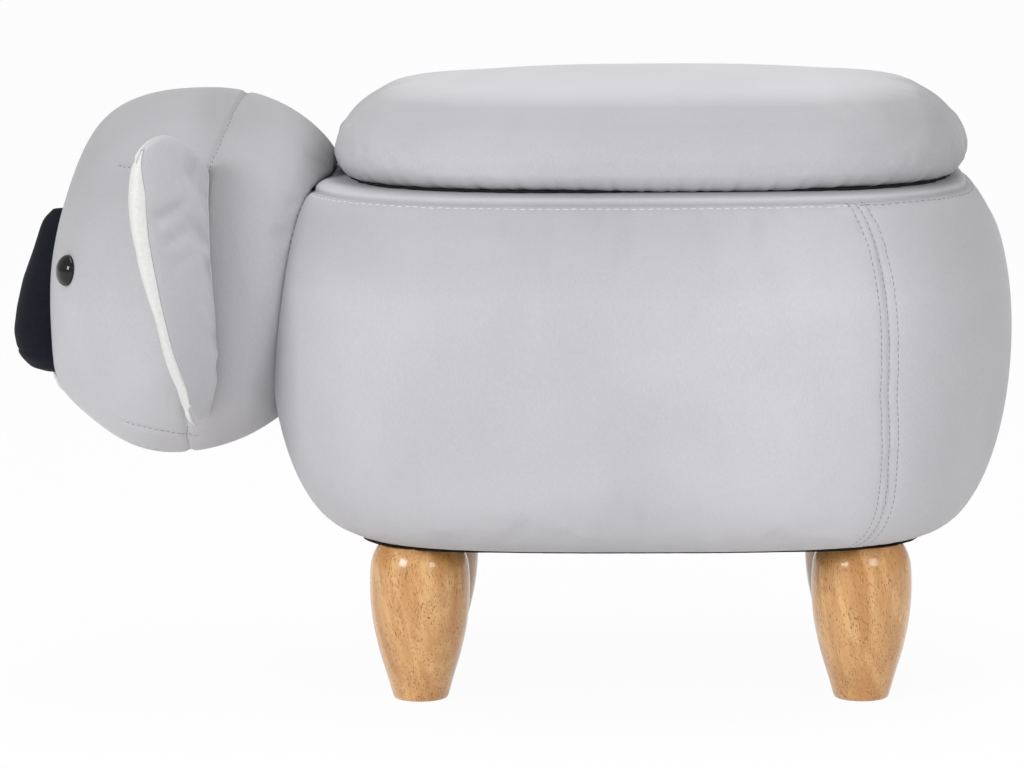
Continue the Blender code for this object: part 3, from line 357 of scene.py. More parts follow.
@dataclass(frozen=True)
class Stitching:
    """A row of sewn stitches that lie on a surface."""

    length: float
    pitch: float
    radius: float
    sunk: float = 0.35
    wander: float = 0.0

    def template(self) -> tuple[np.ndarray, list[tuple[int, ...]]]:
        """One stitch along X: a short thread whose ends dive into the cloth.

        Returns:
            Its points and its faces.
        """
        Bench.deselect()
        bpy.ops.mesh.primitive_uv_sphere_add(segments=6, ring_count=6, radius=1.0)
        stitch = Bench.named("stitch_template")
        bpy.ops.object.mode_set(mode="EDIT")
        bpy.ops.mesh.select_all(action="SELECT")
        bpy.ops.transform.rotate(value=QUARTER_TURN, orient_axis="Y", center_override=(0.0, 0.0, 0.0))
        bpy.ops.object.mode_set(mode="OBJECT")
        points = Bench.points(stitch).copy()
        points[:, 0] = np.sign(points[:, 0]) * np.abs(points[:, 0]) ** 0.8
        points *= (self.length / 2, self.radius, self.radius)
        faces = [tuple(face.vertices) for face in stitch.data.polygons]
        bpy.data.objects.remove(stitch, do_unlink=True)
        return points, faces

    def sew(self, name: str, cloth: bpy.types.Object, line: np.ndarray, seed: int) -> bpy.types.Object:
        """Sew a row along a line.

        Args:
            name: the row's name.
            cloth: the piece that carries it.
            line: roughly where it runs.
            seed: fixes the small unevenness of hand-guided sewing.

        Returns:
            The row as one object.
        """
        chance = np.random.default_rng(seed)
        tree = BVHTree.FromObject(cloth, bpy.context.evaluated_depsgraph_get())
        template, faces = self.template()
        places = evenly(line, self.pitch)
        all_points, all_faces = [], []
        for one, two in zip(places, places[1:]):
            middle = Vector((one + two) / 2)
            spot, normal, _, _ = tree.find_nearest(middle)
            if spot is None:
                continue
            along = Vector(two - one)
            along = (along - normal * along.dot(normal)).normalized()
            across = normal.cross(along)
            turn = Matrix((along, across, normal)).transposed()
            shift = across * float(chance.normal(0.0, self.wander)) - normal * (self.radius * self.sunk)
            placed = template @ np.array(turn).T + np.array(spot + shift)
            first = len(all_points) * len(template)
            all_points.append(placed)
            all_faces += [tuple(first + corner for corner in face) for face in faces]
        piece = Bench.from_points(name, np.concatenate(all_points), all_faces)
        return Bench.settle(piece, 80.0)


# Finishes.


class Shader:
    """A material's node tree, with short calls that add to it."""

    def __init__(self, name: str) -> None:
        """Start a material.

        Args:
            name: the material's name.
        """
        self.material = bpy.data.materials.new(name)
        self.material.use_nodes = True
        self.tree = self.material.node_tree
        self.surface = self.tree.nodes["Principled BSDF"]
        self.place = self.tree.nodes.new("ShaderNodeTexCoord").outputs["Object"]

    def add(self, kind: str, inputs: dict[object, object], **settings: object) -> bpy.types.Node:
        """Add a node.

        Args:
            kind: its type without the leading word.
            inputs: values or sockets by input.
            settings: its own values by name.

        Returns:
            The node.
        """
        node = self.tree.nodes.new("ShaderNode" + kind)
        for key, value in settings.items():
            setattr(node, key, value)
        for key, value in inputs.items():
            if isinstance(value, bpy.types.NodeSocket):
                self.tree.links.new(value, node.inputs[key])
            else:
                node.inputs[key].default_value = value
        return node

    def noise(self, scale: float, detail: float = 2.0, stretch: Triple = (1.0, 1.0, 1.0),
              distortion: float = 0.0) -> bpy.types.NodeSocket:
        """A noise in the object's own metres.

        Args:
            scale: waves per metre.
            detail: octaves.
            stretch: how much finer it is along each axis.
            distortion: how much it swirls.

        Returns:
            Its value, around a half.
        """
        place = self.place
        if stretch != (1.0, 1.0, 1.0):
            place = self.add("Mapping", {"Vector": place, "Scale": stretch}).outputs["Vector"]
        values = {"Vector": place, "Scale": scale, "Detail": detail, "Distortion": distortion}
        return self.add("TexNoise", values).outputs["Fac"]

    def span(self, value: bpy.types.NodeSocket, low: float, high: float, to_low: float = 0.0,
             to_high: float = 1.0) -> bpy.types.NodeSocket:
        """Map a range of a value to another range, clamped.

        Args:
            value: what is mapped.
            low: its lower end.
            high: its upper end.
            to_low: what the lower end becomes.
            to_high: what the upper end becomes.

        Returns:
            The mapped value.
        """
        values = {"Value": value, "From Min": low, "From Max": high, "To Min": to_low, "To Max": to_high}
        return self.add("MapRange", values).outputs["Result"]

    def blend(self, share: object, one: object, two: object, blend_type: str = "MIX") -> bpy.types.NodeSocket:
        """Mix two colours.

        Args:
            share: how much of the second.
            one: the first colour or socket.
            two: the second colour or socket.
            blend_type: the way they mix.

        Returns:
            The mixed colour.
        """
        solid = [colour if isinstance(colour, bpy.types.NodeSocket) else (*colour, 1.0)
                 for colour in (one, two)]
        node = self.add("Mix", {0: share, 6: solid[0], 7: solid[1]}, data_type="RGBA", blend_type=blend_type)
        return node.outputs[2]

    def maths(self, operation: str, one: object, two: object = 0.0) -> bpy.types.NodeSocket:
        """One step of arithmetic."""
        return self.add("Math", {0: one, 1: two}, operation=operation).outputs["Value"]

    def relief(self, layers: list[tuple[bpy.types.NodeSocket, float, float]]) -> None:
        """Chain bumps onto the surface.

        Args:
            layers: height, strength and distance in metres of each.
        """
        normal = None
        for height, strength, distance in layers:
            values = {"Height": height, "Strength": strength, "Distance": distance}
            if normal is not None:
                values["Normal"] = normal
            normal = self.add("Bump", values).outputs["Normal"]
        self.tree.links.new(normal, self.surface.inputs["Normal"])

    def join(self, **sockets: object) -> None:
        """Set or link inputs of the surface, with underscores for spaces in their names."""
        for key, value in sockets.items():
            target = self.surface.inputs[key.replace("_", " ")]
            if isinstance(value, bpy.types.NodeSocket):
                self.tree.links.new(value, target)
            elif isinstance(value, tuple):
                target.default_value = (*value, 1.0)
            else:
                target.default_value = value


@dataclass(frozen=True)
class Velvet:
    """Short-pile velvet: patches of nap laid different ways, fine upright pile and a soft edge glow.

    Creases get painted shade from ambient occlusion. Each ramp paints shade and light: along an axis of the
    object, from one place to another, the colour is multiplied by a factor that goes from one value to
    another.
    """

    name: str = "grey_velvet"
    light: Colour = (0.550, 0.546, 0.570)
    dark: Colour = (0.515, 0.511, 0.535)
    sheen: float = 0.25
    crease_reach: float = 0.030
    crease_shade: float = 0.74
    pile_scale: float = 1900.0
    painted_shade_ramps: tuple[tuple[str, float, float, float, float], ...] = ()

    def make(self) -> bpy.types.Material:
        """Build the material."""
        shader = Shader(self.name)
        nap = shader.span(shader.noise(11.0, 3.0, distortion=0.6), 0.36, 0.66)
        rubbed = shader.span(shader.noise(38.0, 3.0, (1.0, 1.0, 0.35)), 0.38, 0.70)
        pile = shader.noise(self.pile_scale, 2.0, (1.0, 1.0, 0.22))
        colour = shader.blend(nap, self.dark, self.light)
        colour = shader.blend(shader.span(rubbed, 0.0, 1.0, 0.0, 0.25), colour, self.light)
        flecks = shader.span(pile, 0.30, 0.72, 0.94, 1.04)
        grey = shader.add("CombineColor", {0: flecks, 1: flecks, 2: flecks}).outputs["Color"]
        colour = shader.blend(1.0, colour, grey, "MULTIPLY")
        # Painted shade in creases: ambient occlusion darkens the colour there, through the factor lean.
        near = shader.add("AmbientOcclusion", {"Distance": self.crease_reach}, samples=8).outputs["AO"]
        lean = shader.span(near, 0.25, 0.90, self.crease_shade, 1.0)
        places = shader.add("SeparateXYZ", {0: shader.place}).outputs
        # Each ramp multiplies lean by its painted shade and light along one axis of the object.
        for axis, low, high, start, end in self.painted_shade_ramps:
            lean = shader.maths("MULTIPLY", lean, shader.span(places[axis], low, high, start, end))
        # The painted shade and light held in lean, as a grey that multiplies the colour.
        painted_shade_colour = shader.add("CombineColor", {0: lean, 1: lean, 2: lean}).outputs["Color"]
        colour = shader.blend(1.0, colour, painted_shade_colour, "MULTIPLY")
        shader.join(Base_Color=colour, Roughness=shader.span(nap, 0.0, 1.0, 0.82, 0.93),
                    Sheen_Weight=self.sheen, Sheen_Roughness=0.38, Sheen_Tint=(1.0, 1.0, 1.0), IOR=1.35)
        shader.relief([(shader.noise(70.0, 2.0), 0.15, 0.0006), (pile, 0.22, 0.00015)])
        return shader.material


@dataclass(frozen=True)
class Plush:
    """White fleece with clumped fibres."""

    name: str = "white_plush"
    light: Colour = (0.75, 0.75, 0.74)
    dark: Colour = (0.67, 0.67, 0.66)

    def make(self) -> bpy.types.Material:
        """Build the material."""
        shader = Shader(self.name)
        clumps = shader.noise(420.0, 3.0, distortion=1.2)
        fibres = shader.noise(1900.0, 2.0)
        colour = shader.blend(shader.span(clumps, 0.30, 0.60), self.dark, self.light)
        colour = shader.blend(shader.span(fibres, 0.35, 0.75, 0.0, 0.3), colour, (0.84, 0.84, 0.83))
        shader.join(Base_Color=colour, Roughness=shader.span(clumps, 0.3, 0.7, 0.88, 0.97),
                    Sheen_Weight=0.4, Sheen_Roughness=0.5, Sheen_Tint=(1.0, 1.0, 1.0))
        shader.relief([(clumps, 0.30, 0.0006), (fibres, 0.45, 0.0003)])
        return shader.material


@dataclass(frozen=True)
class Weave:
    """A plain woven or felted cloth in one colour, with crossed threads and lint."""

    name: str
    light: Colour
    dark: Colour
    threads: float = 900.0
    sheen: float = 0.1
    roughness: float = 0.85

    def make(self) -> bpy.types.Material:
        """Build the material."""
        shader = Shader(self.name)
        along = shader.noise(self.threads, 2.0, (1.0, 0.25, 1.0))
        across = shader.noise(self.threads, 2.0, (0.25, 1.0, 1.0))
        thread = shader.maths("MAXIMUM", along, across)
        lint = shader.span(shader.noise(160.0, 4.0), 0.45, 0.80)
        colour = shader.blend(shader.span(thread, 0.35, 0.70), self.dark, self.light)
        colour = shader.blend(shader.maths("MULTIPLY", lint, 0.25), colour, self.light)
        shader.join(Base_Color=colour, Roughness=shader.span(thread, 0.3, 0.7, self.roughness, 0.97),
                    Sheen_Weight=self.sheen, Sheen_Roughness=0.4, IOR=1.28)
        shader.relief([(thread, 0.45, 0.0003)])
        return shader.material


@dataclass(frozen=True)
class Lacquer:
    """Lacquered pale hardwood: streaks along the leg, growth bands, short dark pores and a clear coat."""

    name: str
    axis: tuple[float, float]
    seed: float
    pale: Colour = (0.82, 0.47, 0.185)
    warm: Colour = (0.58, 0.27, 0.075)
    pore: Colour = (0.20, 0.075, 0.02)

    def make(self) -> bpy.types.Material:
        """Build the material."""
        shader = Shader(self.name)
        centred = shader.add("Mapping", {"Vector": shader.place, "Rotation": (0.12, 0.16, self.seed * 7.0),
                                         "Location": (-self.axis[0], -self.axis[1], self.seed)})
        shader.place = centred.outputs["Vector"]
        streaks = shader.noise(210.0, 4.0, (1.0, 1.0, 0.05), 0.6)
        bands = shader.noise(52.0, 3.0, (1.0, 1.0, 0.14), 1.0)
        pores = shader.noise(1500.0, 1.0, (1.0, 1.0, 0.20))
        spread = shader.span(shader.noise(90.0, 2.0), 0.35, 0.65)
        waves = shader.noise(70.0, 2.0, (1.0, 1.0, 0.10), 0.8)
        lines = shader.maths("ABSOLUTE", shader.maths("SUBTRACT", waves, 0.5))
        colour = shader.blend(shader.span(bands, 0.36, 0.64), self.pale, self.warm)
        colour = shader.blend(shader.span(streaks, 0.46, 0.72, 0.0, 0.75), colour, self.warm)
        colour = shader.blend(shader.span(lines, 0.0, 0.02, 0.55, 0.0), colour, self.warm)
        dark = shader.maths("MULTIPLY", shader.span(pores, 0.58, 0.66),
                            shader.span(spread, 0.0, 1.0, 0.30, 0.9))
        colour = shader.blend(dark, colour, self.pore)
        shader.join(Base_Color=colour, Roughness=shader.span(streaks, 0.3, 0.8, 0.34, 0.46), Coat_Weight=0.75,
                    Coat_Roughness=0.13, Coat_IOR=1.5)
        shader.relief([(dark, 0.12, 0.0002), (streaks, 0.05, 0.0003)])
        return shader.material


@dataclass(frozen=True)
class Plywood:
    """Unfinished plywood with a loose grain."""

    name: str = "plywood"

    def make(self) -> bpy.types.Material:
        """Build the material."""
        shader = Shader(self.name)
        grain = shader.noise(60.0, 5.0, (0.08, 1.0, 1.0), 0.8)
        plies = shader.noise(420.0, 1.0, (0.02, 0.02, 1.0))
        colour = shader.blend(shader.span(grain, 0.35, 0.65), (0.55, 0.38, 0.22), (0.70, 0.53, 0.34))
        colour = shader.blend(shader.span(plies, 0.5, 0.6, 0.0, 0.25), colour, (0.40, 0.26, 0.14))
        shader.join(Base_Color=colour, Roughness=shader.span(grain, 0.3, 0.7, 0.6, 0.8))
        shader.relief([(grain, 0.2, 0.0004)])
        return shader.material


@dataclass(frozen=True)
class Zinc:
    """Bright zinc plating with fine rolling marks and dull spangle."""

    name: str = "zinc_steel"

    def make(self) -> bpy.types.Material:
        """Build the material."""
        shader = Shader(self.name)
        marks = shader.noise(1600.0, 2.0, (0.05, 1.0, 1.0))
        spangle = shader.noise(260.0, 3.0)
        colour = shader.blend(shader.span(spangle, 0.35, 0.65), (0.50, 0.50, 0.51), (0.66, 0.66, 0.67))
        shader.join(Base_Color=colour, Metallic=1.0, Roughness=shader.span(marks, 0.3, 0.7, 0.26, 0.44))
        shader.relief([(marks, 0.1, 0.0001)])
        return shader.material


@dataclass(frozen=True)
class EyePlastic:
    """Dark brown glossy plastic that is clearer and redder towards its rim."""

    name: str = "eye_gloss"

    def make(self) -> bpy.types.Material:
        """Build the material."""
        shader = Shader(self.name)
        edge = shader.add("LayerWeight", {"Blend": 0.35}).outputs["Facing"]
        swirl = shader.noise(300.0, 2.0)
        colour = shader.blend(shader.span(edge, 0.45, 0.95), (0.010, 0.009, 0.010), (0.060, 0.028, 0.020))
        shader.join(Base_Color=colour, Roughness=shader.span(swirl, 0.3, 0.7, 0.05, 0.09), IOR=1.45)
        shader.relief([(swirl, 0.02, 0.0001)])
        return shader.material


@dataclass(frozen=True)
class Moulded:
    """Plain moulded plastic with a faint texture."""

    name: str
    colour: Colour

    def make(self) -> bpy.types.Material:
        """Build the material."""
        shader = Shader(self.name)
        grain = shader.noise(900.0, 2.0)
        darker = tuple(0.9 * part for part in self.colour)
        shader.join(Base_Color=shader.blend(grain, darker, self.colour),
                    Roughness=shader.span(grain, 0.3, 0.7, 0.42, 0.56))
        shader.relief([(grain, 0.1, 0.0001)])
        return shader.material


@dataclass(frozen=True)
class Thread:
    """Twisted sewing thread."""

    name: str
    colour: Colour

    def make(self) -> bpy.types.Material:
        """Build the material."""
        shader = Shader(self.name)
        twist = shader.noise(2600.0, 1.0)
        darker = tuple(0.78 * part for part in self.colour)
        shader.join(Base_Color=shader.blend(shader.span(twist, 0.35, 0.65), darker, self.colour),
                    Roughness=shader.span(twist, 0.3, 0.7, 0.6, 0.8), Sheen_Weight=0.2)
        shader.relief([(twist, 0.3, 0.0001)])
        return shader.material


class Palette:
    """The finished materials by their slot in the record."""

    def __init__(self) -> None:
        """Build each finish once."""
        self.velvet = Velvet().make()
        # The body, head and lid velvets are lit and shaded copies of one velvet. Each ramp paints shade and
        # light: darker on the head's top, behind the ears and at its rear, on the body's upper side, on the
        # lid's side under its crown and at the tail end; lighter on the lid's crown, the rim's top, the
        # body's middle and lower down.
        self.body_velvet = Velvet("grey_velvet_body", painted_shade_ramps=(
            ("X", 0.06, 0.18, 1.02, 1.12), ("X", 0.21, 0.27, 1.0, 0.87), ("Z", 0.11, 0.20, 1.04, 1.0),
            ("Z", 0.265, 0.310, 1.0, 0.85), ("Z", 0.3232, 0.3258, 1.0, 1.22))).make()
        self.head_velvet = Velvet("grey_velvet_head", painted_shade_ramps=(
            ("Z", 0.16, 0.20, 1.12, 1.06), ("Z", 0.25, 0.37, 1.0, 0.73), ("X", -0.202, -0.186, 1.0, 0.89),
            ("X", -0.178, -0.145, 1.0, 1.12), ("X", -0.135, -0.115, 1.0, 0.82),
            ("Z", 0.17, 0.23, 1.04, 1.0))).make()
        self.lid_velvet = Velvet("grey_velvet_lid", painted_shade_ramps=(
            ("Z", 0.350, 0.370, 0.98, 0.83), ("Z", 0.380, 0.388, 1.0, 1.31),
            ("X", 0.20, 0.285, 1.0, 0.81))).make()
        self.plush = Plush().make()
        self.nose = Weave("nose_cloth", (0.011, 0.012, 0.020), (0.004, 0.005, 0.009), 1300.0, 0.05).make()
        self.lining = Weave("black_lining", (0.022, 0.022, 0.024), (0.006, 0.006, 0.007), 700.0, 0.05).make()
        self.plywood = Plywood().make()
        self.steel = Zinc().make()
        self.eye = EyePlastic().make()
        self.washer = Moulded("washer_plastic", (0.75, 0.75, 0.73)).make()
        self.pale_thread = Thread("pale_thread", (0.80, 0.80, 0.79)).make()
        self.grey_thread = Thread("grey_thread", (0.18, 0.18, 0.19)).make()
        self.dark_thread = Thread("dark_thread", (0.16, 0.16, 0.17)).make()


def dress(piece: bpy.types.Object, material: bpy.types.Material, body: Body) -> bpy.types.Object:
    """Give a new piece its material and the body that it rides on.

    Args:
        piece: the finished piece.
        material: its finish.
        body: what carries it.

    Returns:
        The same piece.
    """
    piece.data.materials.clear()
    piece.data.materials.append(material)
    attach(piece, body.value)
    LOG.info("%s: %d faces on %s", piece.name, len(piece.data.polygons), body.value)
    return piece


# Body.


@dataclass(frozen=True)
class Outline:
    """A rounded oblong in plan, drawn in by an inset."""

    centre_x: float
    half_length: float
    half_depth: float
    squareness: float = 3.2

    def ring(self, turns: np.ndarray, inset: float, share: float = 1.0) -> np.ndarray:
        """Points round the outline.

        Args:
            turns: polar angles, 0 at the tail.
            inset: how far it is drawn in.
            share: the size left after that.

        Returns:
            X and Y of each point.
        """
        length, depth = (self.half_length - inset) * share, (self.half_depth - inset) * share
        along, across = np.abs(np.cos(turns)) / length, np.abs(np.sin(turns)) / depth
        radius = (along ** self.squareness + across ** self.squareness) ** (-1 / self.squareness)
        return np.stack([self.centre_x + radius * np.cos(turns), radius * np.sin(turns)], axis=1)

    def level_ring(self, turns: np.ndarray, inset: float, level: float, share: float = 1.0) -> np.ndarray:
        """The outline's points at a level, one row each."""
        return np.column_stack([self.ring(turns, inset, share), np.full(len(turns), level)])

    def front_x(self, sides: np.ndarray, inset: np.ndarray) -> np.ndarray:
        """X of the outline's head end at each Y, or its middle where Y is outside it."""
        depth = self.half_depth - inset
        share = np.clip(1 - (np.abs(sides) / depth) ** self.squareness, 0.0, 1.0)
        return self.centre_x - (self.half_length - inset) * share ** (1 / self.squareness)


@dataclass
class BodyUpholstery:
    """The velvet body over its foam: side panels, tail panel and the band round the rim."""

    palette: Palette
    outline: Outline = Outline(0.083, 0.237, 0.170)
    shell: Outline = Outline(0.083, 0.2348, 0.170)
    base: float = 0.1015
    widest: float = 0.231
    rim: float = 0.329
    shoulder_run: float = 0.037
    belly_run: float = 0.0555
    seam_rise: float = math.radians(72.0)
    topstitch_rise: float = math.radians(67.3)
    tail_turn: float = math.radians(45.3)
    row_spacing: float = 0.024
    bend_levels: tuple[float, ...] = (0.1015, 0.1050, 0.1300, 0.1600, 0.2050, 0.3290)
    bends: tuple[float, ...] = (-0.112, -0.102, -0.072, -0.035, 0.0, 0.0)
    stations: int = 264
    seam_stations: tuple[float, ...] = (-0.030, -0.024, -0.018, -0.010, -0.005, 0.0,
                                        0.005, 0.010, 0.018, 0.024, 0.030)
    hidden_top: Profile = ((0.043, 0.329), (0.050, 0.329), (0.057, 0.329), (0.062, 0.3289), (0.0648, 0.3282),
                           (0.0653, 0.3265), (0.0653, 0.3190), (0.0653, 0.3112), (0.0636, 0.3112),
                           (0.0636, 0.3262), (0.0398, 0.3262), (0.0398, 0.3138), (0.0577, 0.3136),
                           (0.0577, 0.2100))
    hidden_foot: Profile = ((0.0577, 0.0147), (0.0562, 0.0145), (0.0562, 0.0024), (0.0675, 0.0024),
                            (0.0675, 0.0), (0.0610, 0.0))
    rim_pocket: float = 0.3262
    seam_press: float = 0.0022
    padding: Padding = Padding(pressure=5.0, cap=0.0018, slack=0.008, bending=0.9)
    piece: bpy.types.Object = field(init=False)

    def side(self, rise: float, depth: float = 0.0) -> tuple[float, float]:
        """Inset and level of the side at a rise from -90 degrees underneath to 90 at the rim."""
        upper = rise >= 0
        run = self.shoulder_run if upper else self.belly_run
        height = self.rim - self.widest if upper else self.widest - self.base
        out = Vector((math.cos(rise) / run, math.sin(rise) / height)).normalized()
        return (run * (1 - math.cos(rise)) + depth * out.x,
                self.widest + height * math.sin(rise) - depth * out.y)

    def inset_at(self, levels: np.ndarray) -> np.ndarray:
        """How far the outside is drawn in at each level."""
        height = np.where(levels >= self.widest, self.rim - self.widest, self.widest - self.base)
        run = np.where(levels >= self.widest, self.shoulder_run, self.belly_run)
        sine = np.clip((levels - self.widest) / height, -1.0, 1.0)
        return run * (1 - np.sqrt(1 - sine ** 2))

    def turns(self) -> np.ndarray:
        """Stations round the body, closer together at the tail's sewn lines."""
        even = np.linspace(0.0, FULL_TURN, self.stations, endpoint=False)
        seams = np.array([self.tail_turn, FULL_TURN - self.tail_turn])
        close = (seams[:, None] + np.array(self.seam_stations)[None, :]).ravel()
        gaps = np.abs(even[:, None] - close[None, :]).min(1)
        return np.sort(np.concatenate((even[gaps > 0.008], close)))

    def bent(self, turns: np.ndarray, level: float) -> np.ndarray:
        """The stations at a level: beside the tail they lean towards it under the belly."""
        wrapped = np.remainder(turns + HALF_TURN, FULL_TURN) - HALF_TURN
        reach = np.exp(-((np.abs(wrapped) - self.tail_turn) / 0.35) ** 2)
        return turns + np.sign(wrapped) * reach * float(np.interp(level, self.bend_levels, self.bends))

    def profile(self) -> tuple[list[tuple[float, float]], np.ndarray, int]:
        """The section of the padded ring and how firmly the cover is held at each of its points.

        Returns:
            Insets and levels, a weight for each, and the place of the first hidden one.
        """
        seam = self.seam_rise
        rises = [*np.linspace(-QUARTER_TURN, 0.0, 26)[:-1], *np.linspace(0.0, seam - 0.07, 19)]
        rises += [seam - 0.035, seam - 0.014, seam, seam + 0.014, seam + 0.035]
        rises += list(np.linspace(seam + 0.08, QUARTER_TURN, 5))
        outer = [self.side(rise) for rise in rises]
        held = [1.0 if rise < -1.45 or rise > seam - 1e-6 else 0.0 for rise in rises]
        hidden = list(self.hidden_top) + [(inset, self.base + rise) for inset, rise in self.hidden_foot]
        return outer + hidden, np.array(held + [1.0] * len(hidden)), len(outer)

    def build(self) -> None:
        """Model the padded body, sew it and dress it."""
        turns = self.turns()
        section, held, hidden_from = self.profile()
        rings = []
        for index, (inset, level) in enumerate(section):
            outline = self.shell if index < hidden_from else self.outline
            rings.append(outline.level_ring(self.bent(turns, level), inset, level))
        points = np.stack(rings, axis=1).reshape(-1, 3)
        piece = Bench.from_points("body_upholstery", points, grid_faces(len(turns), len(section), True, True))
        weights = np.tile(held, len(turns)).reshape(len(turns), len(section))
        sewn = [np.argmin(np.abs(turns - turn)) for turn in (self.tail_turn, FULL_TURN - self.tail_turn)]
        weights[sewn, :] = np.maximum(weights[sewn, :], 0.92)
        self.padding.inflate(piece, weights.ravel())
        Bench.subdivide(piece)
        self.piece = piece
        press_line(piece, self.band_line(self.seam_rise), self.seam_press, self.seam_press)
        for turn in (self.tail_turn, -self.tail_turn):
            press_line(piece, self.tail_line(turn), 0.0006, 0.0018)
            for offset in (-self.row_spacing, self.row_spacing):
                press_line(piece, self.tail_line(turn + offset), 0.0003, 0.0015)
        press_line(piece, self.band_line(self.topstitch_rise), 0.0005, 0.0018)
        self.recess_hinges(piece)
        Bench.settle(piece, 60.0)
        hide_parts("near_side_cover", "far_side_cover", "tail_cover", "rim_band", "foam_sleeve")
        dress(piece, self.palette.body_velvet, Body.BASE)
        self.sew()

    def recess_hinges(self, piece: bpy.types.Object) -> None:
        """Let the hinge leaves lie in the rim."""
        points = Bench.points(piece)
        for number in (1, 2):
            low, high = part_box(f"hinge_base_leaf_{number}")
            inside = ((points[:, 0] > low.x - 0.001) & (points[:, 0] < high.x + 0.001)
                      & (points[:, 1] > low.y - 0.001) & (points[:, 1] < high.y + 0.002)
                      & (points[:, 2] > 0.3240))
            points[inside, 2] = np.minimum(points[inside, 2], self.rim_pocket)
        Bench.move_points(piece, points)

    def band_line(self, rise: float, first: float = 0.0, last: float = FULL_TURN) -> np.ndarray:
        """A level line round the body at a rise, between two turns."""
        inset, level = self.side(rise)
        return self.shell.level_ring(np.linspace(first, last, 900), inset, level)

    def tail_line(self, turn: float, low_rise: float = -1.5, high_rise: float | None = None) -> np.ndarray:
        """A line up the body at a turn."""
        rises = np.linspace(low_rise, self.seam_rise if high_rise is None else high_rise, 300)
        rows = []
        for rise in rises:
            inset, level = self.side(float(rise))
            rows.append([*self.shell.ring(self.bent(np.array([turn]), level), inset)[0], level])
        return np.array(rows)

    def sew(self) -> None:
        """The topstitch under the rim band, pale on the sides and grey at the tail, and the tail's rows."""
        pale, grey = self.palette.pale_thread, self.palette.grey_thread
        rows = []
        sides = self.band_line(self.topstitch_rise, self.tail_turn, FULL_TURN - self.tail_turn)
        rows.append(("rim_topstitch", sides, Stitching(0.0036, 0.0052, 0.00042, 0.25, 0.00012), pale))
        tail = self.band_line(self.topstitch_rise, -self.tail_turn, self.tail_turn)
        rows.append(("rim_topstitch_tail", tail, Stitching(0.0034, 0.0048, 0.00030, 0.30, 0.00012), grey))
        for hand, turn in ((Hand.FAR, self.tail_turn), (Hand.NEAR, -self.tail_turn)):
            for number, offset in enumerate((-self.row_spacing, 0.0, self.row_spacing), start=1):
                line = self.tail_line(turn + offset, -1.46, self.seam_rise + (0.03 if number != 2 else 0.0))
                rows.append((f"tail_stitch_{hand.word}_{number}", line,
                             Stitching(0.0030, 0.0040, 0.00026, 0.35, 0.00014), grey))
        for seed, (name, line, stitching, thread) in enumerate(rows, start=11):
            dress(stitching.sew(name, self.piece, line, seed), thread, Body.BASE)


# Lid.


